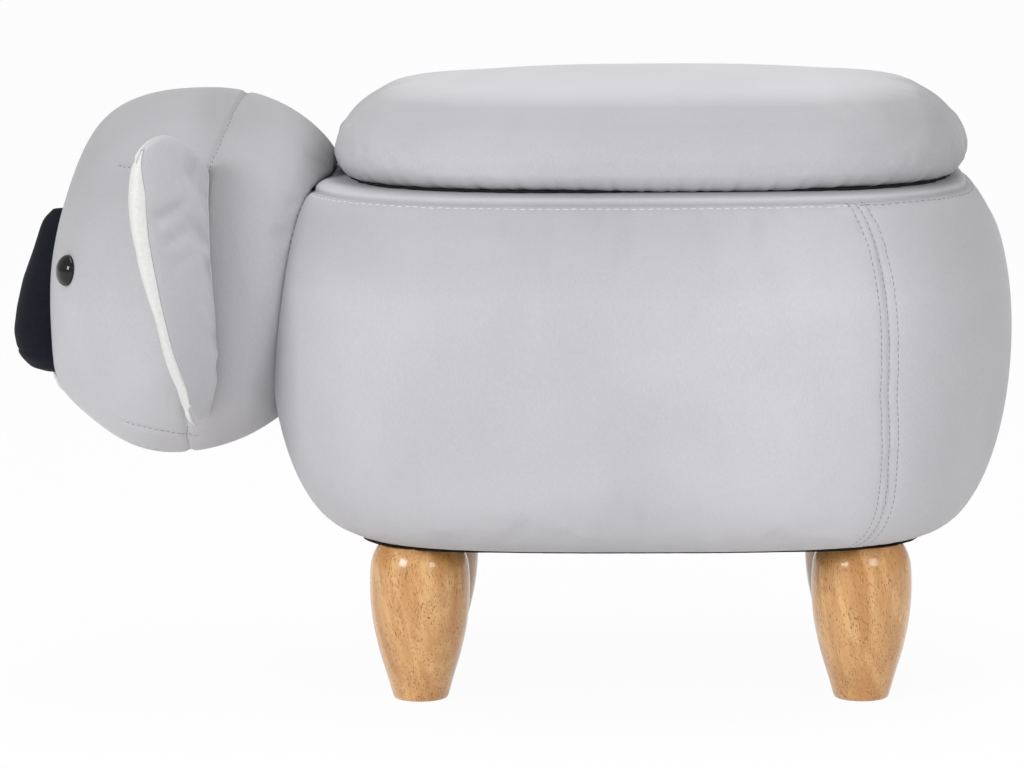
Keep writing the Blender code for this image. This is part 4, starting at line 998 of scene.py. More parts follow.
@dataclass
class LidCushion:
    """The padded seat on the hinged lid."""

    palette: Palette
    outline: Outline = Outline(0.0900, 0.2005, 0.145)
    base: float = 0.3306
    widest: float = 0.347
    shoulder: float = 0.3865
    crown: float = 0.008
    edge_run: float = 0.055
    under_run: float = 0.017
    turn_in: float = 0.006
    board_seat: float = 0.339
    leaf_pocket: float = 0.3345
    hang_places: tuple[float, ...] = (-0.105, -0.075, 0.04, 0.09, 0.17, 0.20, 0.26, 0.285)
    hangs: tuple[float, ...] = (0.0015, 0.0004, 0.0004, 0.0015, 0.0015, 0.0004, 0.0004, 0.0012)
    voxel: float = 0.0045
    padding: Padding = Padding(pressure=4.0, cap=0.0009, slack=0.012, bending=1.2)

    def rings(self) -> list[np.ndarray]:
        """The cushion's rings from under its board, round its side and over its top."""
        turns = round_turns(220)
        under = self.under_run + self.turn_in
        section = [(under + 0.030, self.board_seat), (under + 0.0012, self.board_seat), (under, self.base),
                   (under - 0.007, self.base)]
        arcs = ((np.linspace(-QUARTER_TURN, 0.0, 7)[:-1], self.under_run, self.widest - self.base),
                (np.linspace(0.0, QUARTER_TURN, 22), self.edge_run, self.shoulder - self.widest))
        for rises, run, height in arcs:
            section += [(run * (1 - math.cos(rise)), self.widest + height * math.sin(rise)) for rise in rises]
        rings = [self.outline.level_ring(turns, inset, level) for inset, level in section]
        for share in np.linspace(0.95, 0.05, 16):
            level = self.shoulder + self.crown * (1 - share ** 2)
            rings.append(self.outline.level_ring(turns, self.edge_run, level, share))
        return rings

    def build(self) -> None:
        """Model the cushion, blow it up and dress it."""
        rings = self.rings()
        piece = Bench.from_points("lid_cushion", np.concatenate(rings), ring_faces(len(rings), len(rings[0])))
        Bench.remesh(piece, self.voxel)
        points = Bench.points(piece)
        self.padding.inflate(piece, (points[:, 2] < self.widest - 0.006).astype(float))
        Bench.subdivide(piece)
        self.flatten_under(piece)
        self.pucker(piece)
        Bench.settle(piece, 80.0)
        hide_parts("lid_cover", "lid_foam")
        dress(piece, self.palette.lid_velvet, Body.LID)

    def flatten_under(self, piece: bpy.types.Object) -> None:
        """Keep the underside flat on the rim and leave room for the lid's hinge leaves."""
        points = Bench.points(piece)
        points[:, 2] = np.maximum(points[:, 2], self.base)
        for number in (1, 2):
            low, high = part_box(f"hinge_lid_leaf_{number}")
            inside = ((points[:, 0] > low.x - 0.0015) & (points[:, 0] < high.x + 0.0015)
                      & (points[:, 1] > low.y - 0.0015) & (points[:, 2] < self.leaf_pocket))
            points[inside, 2] = self.leaf_pocket
        Bench.move_points(piece, points)

    def pucker(self, piece: bpy.types.Object) -> None:
        """Small uneven gathers where the cover is pulled round the board's edge, and its uneven hem."""
        points, normals = Bench.points(piece), Bench.normals(piece)
        turn = np.arctan2(points[:, 1], points[:, 0] - self.outline.centre_x)
        low = np.exp(-((points[:, 2] - 0.334) / 0.005) ** 2)
        wave = (0.45 * np.sin(83.0 * turn) + 0.35 * np.sin(131.0 * turn + 1.3)
                + 0.3 * np.sin(47.0 * turn + 0.4))
        points[:, 2] += 0.0006 * wave * low * (normals[:, 2] < 0.3) * (points[:, 2] > self.base + 0.0002)
        hang = np.interp(points[:, 0], self.hang_places, self.hangs)
        hem = np.clip((0.3420 - points[:, 2]) / 0.008, 0.0, 1.0) * (points[:, 1] < 0.10)
        points[:, 2] -= hang * hem
        Bench.move_points(piece, points)


# Head.


@dataclass
class Head:
    """The stuffed head: two covers sewn round the middle and pressed against the body."""

    palette: Palette
    body: BodyUpholstery
    lid: LidCushion
    centre_x: float = -0.205
    centre_z: float = 0.2655
    front: float = 0.0905
    rear: float = 0.112
    seam_psi: float = math.radians(99.0)
    brow: float = 0.016
    fullness: float = 0.23
    rear_fullness: float = 0.07
    seam_turns: tuple[float, ...] = (-90.0, 20.0, 39.0, 60.0, 90.0)
    seam_bends: tuple[float, ...] = (-3.2, -3.2, -3.2, 0.6, 3.6)
    jaw_fullness: float = 0.007
    half_width: float = 0.108
    half_height: float = 0.117
    lean: float = 0.113
    around: int = 200
    body_gap: float = 0.0004
    lid_gap: float = 0.0005
    lid_spread: float = 0.0012
    seam_arcs: tuple[tuple[str, float, float], ...] = (("top", 38.0, 142.0), ("bottom", 232.0, 308.0))
    brow_line: tuple[float, float, float, float] = (0.3377, -0.2425, -0.196, 0.0005)
    jaw_line: tuple[float, float, float, float] = (0.1655, -0.2440, -0.198, 0.0105)
    neck_levels: tuple[float, float] = (0.3275, 0.288)
    padding: Padding = Padding(pressure=4.0, cap=0.004, slack=0.006, bending=0.8)
    piece: bpy.types.Object = field(init=False)

    def point(self, psi: np.ndarray, turn: np.ndarray) -> np.ndarray:
        """Points on the head.

        Args:
            psi: angle from its front pole.
            turn: angle round its axis from the far side up.

        Returns:
            The points, one row each.
        """
        rise = self.half_height * np.sin(psi) * np.sin(turn)
        ridge = np.maximum(np.sin(turn), 0.0) ** 2.5
        brow = self.brow * ridge * np.sin(psi) ** 3 * np.maximum(np.sin(2 * psi), 0.0)
        ahead = np.maximum(np.cos(psi), 0.0) ** (1 - self.fullness * ridge)
        reach = self.front * ahead + self.rear * np.minimum(np.cos(psi), 0.0)
        wide = 1 + self.rear_fullness * np.minimum(np.sin(2 * psi), 0.0) ** 2
        under = np.maximum(-np.sin(turn), 0.0) ** 2
        jaw = self.jaw_fullness * under * np.exp(-((psi - math.radians(38.0)) / 0.24) ** 2)
        return np.stack([self.centre_x - reach + self.lean * rise - brow - jaw,
                         self.half_width * np.sin(psi) * np.cos(turn) * wide, self.centre_z + rise], axis=-1)

    def bent(self, psi: float, turns: np.ndarray) -> np.ndarray:
        """Angles of a ring: near the seam it leans back over the crown and forward under the ears."""
        lifted = np.degrees(np.arcsin(np.sin(turns)))
        bend = np.radians(np.interp(lifted, self.seam_turns, self.seam_bends))
        return psi + bend * np.exp(-((psi - self.seam_psi) / 0.40) ** 2)

    def keep_clear(self, points: np.ndarray) -> np.ndarray:
        """Flatten what would stand in the body or in the lid's way.

        Args:
            points: the head's points.

        Returns:
            Which of them touch the body.
        """
        level = np.minimum(points[:, 2], self.body.rim)
        limit = self.body.shell.front_x(points[:, 1], self.body.inset_at(level)) - self.body_gap
        limit = np.where(points[:, 2] > self.body.rim + 0.001, 1.0, limit)
        spread = np.full(len(points), -self.lid_spread)
        lid_limit = self.lid.outline.front_x(points[:, 1], spread) - self.lid_gap
        limit = np.where(points[:, 2] > self.body.rim - 0.002, np.minimum(limit, lid_limit), limit)
        touching = points[:, 0] > limit
        points[:, 0] = np.minimum(points[:, 0], limit)
        return touching

    def press_back(self, piece: bpy.types.Object) -> None:
        """Keep a head mesh out of the body and of the lid's way."""
        points = Bench.points(piece)
        self.keep_clear(points)
        Bench.move_points(piece, points)

    def build(self) -> None:
        """Model the head, blow it up, sew it and dress it."""
        turns = round_turns(self.around)
        psis = np.concatenate((np.linspace(0.02, self.seam_psi - 0.07, 48),
                               self.seam_psi + np.array([-0.036, -0.015, 0.0, 0.015, 0.036]),
                               np.linspace(self.seam_psi + 0.08, 3.12, 40)))
        rings = [self.point(self.bent(float(psi), turns), turns) for psi in psis]
        points = np.concatenate(rings)
        touching = self.keep_clear(points)
        piece = Bench.from_points("head_stuffed", points, ring_faces(len(rings), self.around))
        held = touching.astype(float)
        held[:2 * self.around] = 1.0
        seam_row = int(np.argmin(np.abs(psis - self.seam_psi)))
        held[seam_row * self.around:(seam_row + 1) * self.around] = 0.9
        self.padding.inflate(piece, held)
        self.press_back(piece)
        Bench.subdivide(piece)
        for line in (self.seam(0.0, FULL_TURN), *map(self.brow_dart, Hand), *map(self.jaw_dart, Hand)):
            press_line(piece, line, 0.0010, 0.0024)
        self.press_back(piece)
        Bench.settle(piece, 60.0)
        self.piece = piece
        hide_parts("head_face_cover", "head_back_cover", "head_filling")
        dress(piece, self.palette.head_velvet, Body.BASE)
        self.sew()

    def seam(self, first: float, last: float) -> np.ndarray:
        """The seam between the covers, between two turns."""
        turns = np.linspace(first, last, 500)
        return self.point(self.bent(self.seam_psi, turns), turns)

    def neck_line(self, hand: Hand) -> np.ndarray:
        """Where the head's cover meets the body's, from below the lid down past the rim."""
        points = Bench.points(self.piece)
        side = hand.value * points[:, 1]
        level = np.minimum(points[:, 2], self.body.rim)
        limit = self.body.shell.front_x(points[:, 1], self.body.inset_at(level))
        near = (points[:, 0] > limit - 0.0025) & (side > 0.02)
        line = []
        for height in np.linspace(*self.neck_levels, 60):
            row = np.where(near & (np.abs(points[:, 2] - height) < 0.0016))[0]
            if len(row):
                line.append(points[row[np.argmax(side[row])]])
        return np.array(line)

    def dart(self, hand: Hand, level: float, front_x: float, rear_x: float, drop: float) -> np.ndarray:
        """A short sewn line that runs forward from the seam on one side."""
        xs = np.linspace(rear_x, front_x, 90)
        levels = level + drop * np.linspace(0.0, 1.0, 90)
        rise = (levels - self.centre_z) / self.half_height
        reach = self.centre_x + self.lean * (levels - self.centre_z) - xs
        reach /= np.where(reach > 0, self.front, self.rear)
        side = self.half_width * np.sqrt(np.clip(1 - rise ** 2 - reach ** 2, 0.0, 1.0))
        return np.stack([xs, hand.value * side, levels], axis=1)

    def brow_dart(self, hand: Hand) -> np.ndarray:
        """The short line before the top of an ear."""
        return self.dart(hand, *self.brow_line)

    def jaw_dart(self, hand: Hand) -> np.ndarray:
        """The short line under the cheek."""
        return self.dart(hand, *self.jaw_line)

    def sew(self) -> None:
        """The stitch rows of the head."""
        fine = Stitching(0.0024, 0.0036, 0.00032, 0.3, 0.00016)
        rows = [(f"head_seam_stitch_{place}", self.seam(math.radians(first), math.radians(last)))
                for place, first, last in self.seam_arcs]
        for hand in Hand:
            rows.append((f"brow_stitch_{hand.word}", self.brow_dart(hand)))
            rows.append((f"jaw_stitch_{hand.word}", self.jaw_dart(hand)))
        for seed, (name, line) in enumerate(rows, start=31):
            dress(fine.sew(name, self.piece, line, seed), self.palette.grey_thread, Body.BASE)
        coarse = Stitching(0.0026, 0.0046, 0.00036, 0.1, 0.0002)
        for seed, hand in enumerate(Hand, start=51):
            row = coarse.sew("neck_stitch_" + hand.word, self.piece, self.neck_line(hand), seed)
            dress(row, self.palette.dark_thread, Body.BASE)


@dataclass
class Ear:
    """A padded ear: grey velvet behind, white plush in front and round the free edge."""

    palette: Palette
    head: Head
    hand: Hand
    root_top: float = 0.3415
    root_bottom: float = 0.177
    outward: float = 0.074
    curl: float = 1.5
    forward: float = 0.051
    forward_power: float = 1.3
    forward_fade: float = 0.81
    lift: float = 0.080
    half_thickness: float = 0.0080
    edge_half_thickness: float = 0.0028
    root_fullness: float = 0.24
    root_gap: float = 0.0012
    cover_thickness: float = 0.0014
    plush_proud: float = 0.0004
    steps: int = 48
    plush_wrap: float = 0.875
    root_places: tuple[float, ...] = (0.0, 0.13, 0.29, 0.39, 0.52, 0.60, 0.80, 0.93, 1.0)
    root_shifts: tuple[float, ...] = (-0.0098, -0.0089, -0.0058, -0.0034, 0.0005,
                                      0.0026, 0.0057, 0.0035, 0.0020)
    band_places: tuple[float, ...] = (0.05, 0.20, 0.45, 0.75)
    band_shares: tuple[float, ...] = (0.04, 1.0, 1.0, 0.55)
    folds: tuple[tuple[float, float], ...] = ((0.3240, 0.0036), (0.3085, 0.0026), (0.2930, 0.0010))
    padding: Padding = Padding(pressure=3.0, cap=0.004, slack=0.02, bending=0.3)

    def middle(self, run: float, reach: float) -> Vector:
        """A point of the middle sheet: run goes down the root, reach goes away from it."""
        level = self.root_top + (self.root_bottom - self.root_top) * run
        rise = level - self.head.centre_z
        shift = float(np.interp(run, self.root_places, self.root_shifts))
        back = shift - self.head.rear * math.cos(self.head.seam_psi)
        chord = math.sqrt(1 - (back / self.head.rear) ** 2 - (rise / self.head.half_height) ** 2)
        root_y = self.head.half_width * chord + self.root_gap
        root_x = self.head.centre_x + back + self.head.lean * rise
        forward = self.forward * (1 - self.forward_fade * run) * reach ** self.forward_power
        outward = self.outward * (1 - (1 - reach) ** self.curl)
        return Vector((root_x - forward, self.hand.value * (root_y + outward),
                       level + self.lift * (1 - run) ** 2 * reach))

    def layers(self, along: float, out: float) -> tuple[Vector, Vector]:
        """The velvet's and the plush's points at a place of the ear's square grid."""
        turned = 2 * along - 1
        reach = out * math.sqrt(1 - turned ** 2 / 2)
        run = (1 + turned * math.sqrt(1 - out ** 2 / 2)) / 2
        centre = self.middle(run, reach)
        probe = 0.01
        down = self.middle(min(run + probe, 1.0), reach) - self.middle(max(run - probe, 0.0), reach)
        away = self.middle(run, min(reach + probe, 1.0)) - self.middle(run, max(reach - probe, 0.0))
        normal = down.cross(away).normalized()
        if normal.x < 0:
            normal.negate()
        if out == 0.0:
            normal = Vector((1.0, 0.0, 0.0))
        fullness = self.root_fullness + (1 - self.root_fullness) * out
        swell = math.sin(HALF_TURN * along) * math.sin(HALF_TURN * fullness)
        swollen = self.half_thickness - self.edge_half_thickness
        half = self.edge_half_thickness + swollen * max(swell, 0.0) ** 0.6
        if along in (0.0, 1.0) or out == 1.0:
            half *= 0.35
        return centre + normal * half, centre - normal * half

    def build(self) -> None:
        """Model the padded ear, blow it up, part it at its seam and dress both covers."""
        shares = np.linspace(0.0, 1.0, self.steps + 1)
        behind, before = [], []
        for along in shares:
            band = float(np.interp(along, self.band_places, self.band_shares))
            edge = 1.0 - (1.0 - self.plush_wrap) * band
            for out in np.interp(shares, (0.0, self.plush_wrap, 1.0), (0.0, edge, 1.0)):
                one, two = self.layers(float(along), float(out))
                behind.append(one)
                before.append(two)
        size = self.steps + 1
        faces = grid_faces(size, size, False, False)
        second = [tuple(corner + size * size for corner in face) for face in faces]
        border = [*range(size), *(row * size + size - 1 for row in range(1, size))]
        border += [size * size - 1 - step for step in range(1, size)]
        border += [row * size for row in range(size - 2, 0, -1)]
        rim = []
        for one, two in zip(border, border[1:] + border[:1]):
            rim.append((one, two, two + size * size, one + size * size))
        ear = Bench.from_points("ear_" + self.hand.word, np.array(behind + before), faces + second + rim)
        held = np.zeros(2 * size * size)
        for row in range(size):
            for offset in (0, size * size):
                held[offset + row * size] = 1.0
        self.padding.inflate(ear, held)
        self.crease(ear)
        plush = np.ones(len(ear.data.polygons), dtype=bool)
        for index in range(len(faces)):
            plush[index] = (index % self.steps) / self.steps >= self.plush_wrap
        plush[2 * len(faces):] = True
        plush[2 * len(faces):2 * len(faces) + self.steps + 3] = False
        self.cover(ear, "ear_velvet_" + self.hand.word, ~plush, self.palette.velvet,
                   ("ear_back_" + self.hand.word, "ear_wadding_" + self.hand.word), 0.0)
        self.cover(ear, "ear_plush_" + self.hand.word, plush, self.palette.plush,
                   ("ear_front_" + self.hand.word,), self.plush_proud)
        bpy.data.objects.remove(ear, do_unlink=True)

    def crease(self, ear: bpy.types.Object) -> None:
        """Soft folds across the upper ear and a slight scallop along the root."""
        points, normals = Bench.points(ear), Bench.normals(ear)
        levels = points[:, 2]
        reach = np.clip((np.abs(points[:, 1]) - 0.108) / self.outward, 0.0, 1.0)
        back = np.arange(len(points)) < len(points) // 2
        for level, depth in self.folds:
            fold = np.exp(-((levels - level + 0.012 * (reach - 0.5)) / 0.0032) ** 2)
            fade = np.clip((reach - 0.30) / 0.25, 0.0, 1.0) * np.clip((0.96 - reach) / 0.12, 0.0, 1.0)
            points -= normals * (depth * fold * fade * back)[:, None]
        wave = 0.5 * np.sin(levels * 310.0) + 0.5 * np.sin(levels * 197.0 + 1.0)
        points += normals * (0.0012 * wave * (1 - reach) ** 2 * (reach > 0.02))[:, None]
        Bench.move_points(ear, points)

    def cover(self, ear: bpy.types.Object, name: str, kept: np.ndarray, material: bpy.types.Material,
              nodes: tuple[str, ...], proud: float) -> None:
        """Cut one cover out of the whole ear and give it a thickness.

        Args:
            ear: the padded ear.
            name: the cover's name.
            kept: which faces belong to it.
            material: its finish.
            nodes: the solids that it stands for.
            proud: how far it stands out over its neighbour.
        """
        Bench.pick(ear)
        bpy.ops.object.duplicate()
        piece = Bench.named(name)
        mesh = bmesh.new()
        mesh.from_mesh(piece.data)
        mesh.faces.ensure_lookup_table()
        lost = [face for face, keep in zip(mesh.faces, kept) if not keep]
        bmesh.ops.delete(mesh, geom=lost, context="FACES")
        mesh.to_mesh(piece.data)
        mesh.free()
        if proud:
            Bench.move_points(piece, Bench.points(piece) + proud * Bench.normals(piece))
        Bench.modify(piece, "SOLIDIFY", thickness=self.cover_thickness, offset=-1.0)
        Bench.subdivide(piece)
        Bench.settle(piece, 60.0)
        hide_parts(*nodes)
        dress(piece, material, Body.BASE)


@dataclass
class Face:
    """Nose, chin patch and eyes."""

    palette: Palette
    head: Head
    tip_x: float = -0.3213
    reach: float = 0.0284
    root_depth: float = 0.020
    nose_bottom: float = 0.2005
    nose_height: float = 0.1055
    nose_half_width: float = 0.031
    nose_voxel: float = 0.0022
    nose_seam_level: float = 0.2155
    chin_radius: float = 0.0115
    chin_angle: float = math.radians(36.5)
    chin_section: Profile = ((1.0, 0.0003), (1.02, 0.0008), (0.97, 0.0014), (0.86, 0.0019), (0.68, 0.0023),
                             (0.45, 0.0026), (0.2, 0.0027))
    eye_level: float = 0.2733
    eye_spacing: float = 0.124
    eye_radius: float = 0.010
    eye_dome: float = 0.0062
    eye_rim: float = 0.0006
    eye_sunk: float = 0.0022
    eye_proud: float = 0.0006
    profile: tuple[tuple[float, float, float], ...] = (
        (0.0, 0.32, 0.35), (0.03, 0.64, 0.62), (0.11, 0.91, 0.87), (0.25, 1.0, 1.0), (0.40, 0.92, 0.97),
        (0.57, 0.77, 0.86), (0.75, 0.52, 0.68), (0.93, 0.30, 0.42), (1.0, 0.05, 0.15))

    def build(self) -> None:
        """Model all of the face."""
        self.build_nose()
        self.build_chin()
        for hand in Hand:
            self.build_eye(hand)

    def build_nose(self) -> None:
        """The nose: a soft wedge, full near its lower end, sewn onto the face."""
        table = np.array(self.profile)
        heights = np.concatenate((np.linspace(0.0, 0.06, 5)[:-1], np.linspace(0.06, 0.94, 26)[:-1],
                                  np.linspace(0.94, 1.0, 5)))
        smooth = [np.interp(heights, table[:, 0], table[:, column]) for column in (1, 2)]
        face_x = self.tip_x + self.reach
        back_x = face_x + self.root_depth
        turns = round_turns(48)
        rings = []
        for height, reach, width in zip(heights, *smooth):
            front_x = face_x - self.reach * reach
            middle, half = (front_x + back_x) / 2, (back_x - front_x) / 2
            level = np.full(len(turns), self.nose_bottom + self.nose_height * height)
            side = self.nose_half_width * width * np.sin(turns)
            rings.append(np.column_stack([middle + half * np.cos(turns), side, level]))
        piece = Bench.from_points("nose_padded", np.concatenate(rings), ring_faces(len(rings), len(turns)))
        Bench.remesh(piece, self.nose_voxel)
        Bench.modify(piece, "SMOOTH", factor=0.5, iterations=5)
        points = Bench.points(piece)
        held = (points[:, 0] > face_x + 0.004).astype(float)
        Padding(pressure=3.0, cap=0.002, bending=0.5).inflate(piece, held)
        Bench.subdivide(piece)
        press_line(piece, self.nose_seam(piece), 0.0007, 0.0014)
        Bench.settle(piece, 60.0)
        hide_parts("nose")
        dress(piece, self.palette.nose, Body.BASE)

    def nose_seam(self, piece: bpy.types.Object) -> np.ndarray:
        """The sewn line across the lower front of the nose, found by rays from ahead of it."""
        sides = np.linspace(-0.034, 0.034, 60)
        line = np.stack([np.full(60, self.tip_x), sides, np.full(60, self.nose_seam_level)], axis=1)
        tree = BVHTree.FromObject(piece, bpy.context.evaluated_depsgraph_get())
        ahead, backward = Vector((0.05, 0.0, 0.0)), Vector((1.0, 0.0, 0.0))
        hits = [tree.ray_cast(Vector(point) - ahead, backward)[0] for point in line]
        return evenly(np.array([hit for hit in hits if hit is not None]), 0.0005)

    def build_chin(self) -> None:
        """A small plush patch under the nose, laid on the face."""
        turns = round_turns(40)
        rows = []
        for share, proud in self.chin_section:
            radius = self.chin_radius * share
            psi = self.chin_angle + radius * np.cos(turns) / self.head.half_height
            around = -QUARTER_TURN + radius * np.sin(turns) / (self.head.half_width * np.sin(psi))
            ring = self.head.point(psi, around)
            centre = np.array([self.head.centre_x, 0.0, self.head.centre_z])
            out = (ring - centre) / np.linalg.norm(ring - centre, axis=1, keepdims=True)
            ragged = 1.0 + 0.12 * np.sin(turns * 13.0) + 0.10 * np.sin(turns * 7.0 + 2.0)
            rows.append(ring + out * (proud * ragged)[:, None])
        piece = Bench.from_points("chin_plush", np.concatenate(rows), ring_faces(len(rows), len(turns)))
        Bench.subdivide(piece)
        Bench.settle(piece, 80.0)
        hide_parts("chin_patch")
        dress(piece, self.palette.plush, Body.BASE)

    def build_eye(self, hand: Hand) -> None:
        """A domed plastic eye with a thin rolled rim, seated on the face."""
        rise = self.eye_level - self.head.centre_z
        side = hand.value * self.eye_spacing / 2
        share = 1 - (side / self.head.half_width) ** 2 - (rise / self.head.half_height) ** 2
        reach = self.head.front * math.sqrt(share)
        seat = Vector((self.head.centre_x - reach + self.head.lean * rise, side, self.eye_level))
        ahead = -reach / self.head.front ** 2
        out = Vector((ahead, side / self.head.half_width ** 2,
                      rise / self.head.half_height ** 2 - self.head.lean * ahead)).normalized()
        Bench.deselect()
        bpy.ops.mesh.primitive_uv_sphere_add(segments=48, ring_count=32, radius=self.eye_radius)
        piece = Bench.named("eye_dome_" + hand.word)
        bpy.ops.object.mode_set(mode="EDIT")
        bpy.ops.mesh.select_all(action="SELECT")
        bpy.ops.mesh.bisect(plane_co=(0.0, 0.0, 0.0), plane_no=(0.0, 0.0, 1.0), clear_inner=True,
                            use_fill=True)
        bpy.ops.object.mode_set(mode="OBJECT")
        points = Bench.points(piece).copy()
        radius = np.linalg.norm(points[:, :2], axis=1)
        height = points[:, 2] / self.eye_radius
        rim = np.exp(-((radius / self.eye_radius - 0.97) / 0.03) ** 2)
        points[:, 2] = self.eye_dome * height + self.eye_rim * rim * height
        points[height < 0.01, 2] = -self.eye_sunk
        turn = out.to_track_quat("Z", "Y").to_matrix()
        Bench.move_points(piece, points @ np.array(turn).T + np.array(seat + out * self.eye_proud))
        Bench.settle(piece, 50.0)
        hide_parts("eye_" + hand.word)
        dress(piece, self.palette.eye, Body.BASE)


# Legs, linings and fittings.


@dataclass
class Leg:
    """A turned leg, spun from its profile, with a softened foot edge."""

    name: str
    seed: float
    radius: float = 0.0319
    steps: int = 72
    profile: tuple[tuple[float, float], ...] = (
        (0.0, 0.53), (0.02, 0.56), (0.13, 0.655), (0.30, 0.82), (0.48, 0.942), (0.62, 0.99),
        (0.75, 1.0), (0.87, 0.985), (0.94, 0.93), (0.985, 0.85), (1.0, 0.80))

    def outline(self, top: float) -> list[tuple[float, float]]:
        """The leg's smoothed side, from the middle of its foot to the middle of its top.

        Args:
            top: the leg's height.

        Returns:
            Radius and level pairs.
        """
        table = np.array(self.profile[1:])
        heights = np.linspace(table[0, 0], 1.0, 28)
        rough = np.interp(heights, table[:, 0], table[:, 1])
        for _ in range(3):
            rough[1:-1] = (rough[:-2] + 2 * rough[1:-1] + rough[2:]) / 4
        side = [(self.radius * float(share), top * float(height)) for share, height in zip(rough, heights)]
        foot = [(0.0, 0.0), (self.radius * 0.35, 0.0), (self.radius * 0.52, 0.0),
                (self.radius * 0.538, top * 0.004)]
        return foot + side + [(self.radius * 0.45, top), (0.0, top)]

    def build(self) -> None:
        """Spin the leg and dress it."""
        low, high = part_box("leg_" + self.name)
        centre = (low + high) / 2
        outline = self.outline(high.z)
        data = bpy.data.meshes.new("leg_wood_" + self.name)
        edges = [(index, index + 1) for index in range(len(outline) - 1)]
        data.from_pydata([(radius, 0.0, level) for radius, level in outline], edges, [])
        piece = bpy.data.objects.new("leg_wood_" + self.name, data)
        bpy.context.scene.collection.objects.link(piece)
        Bench.pick(piece)
        bpy.ops.object.mode_set(mode="EDIT")
        bpy.ops.mesh.select_all(action="SELECT")
        bpy.ops.mesh.spin(steps=self.steps, angle=FULL_TURN, center=(0.0, 0.0, 0.0), axis=(0.0, 0.0, 1.0))
        bpy.ops.mesh.select_all(action="SELECT")
        bpy.ops.mesh.remove_doubles(threshold=0.00002)
        bpy.ops.mesh.normals_make_consistent(inside=False)
        bpy.ops.object.mode_set(mode="OBJECT")
        piece.location = (centre.x, centre.y, 0.0)
        Bench.settle(piece, 40.0)
        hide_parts("leg_" + self.name)
        material = Lacquer("leg_lacquer_" + self.name, (centre.x, centre.y), self.seed).make()
        dress(piece, material, Body.BASE)


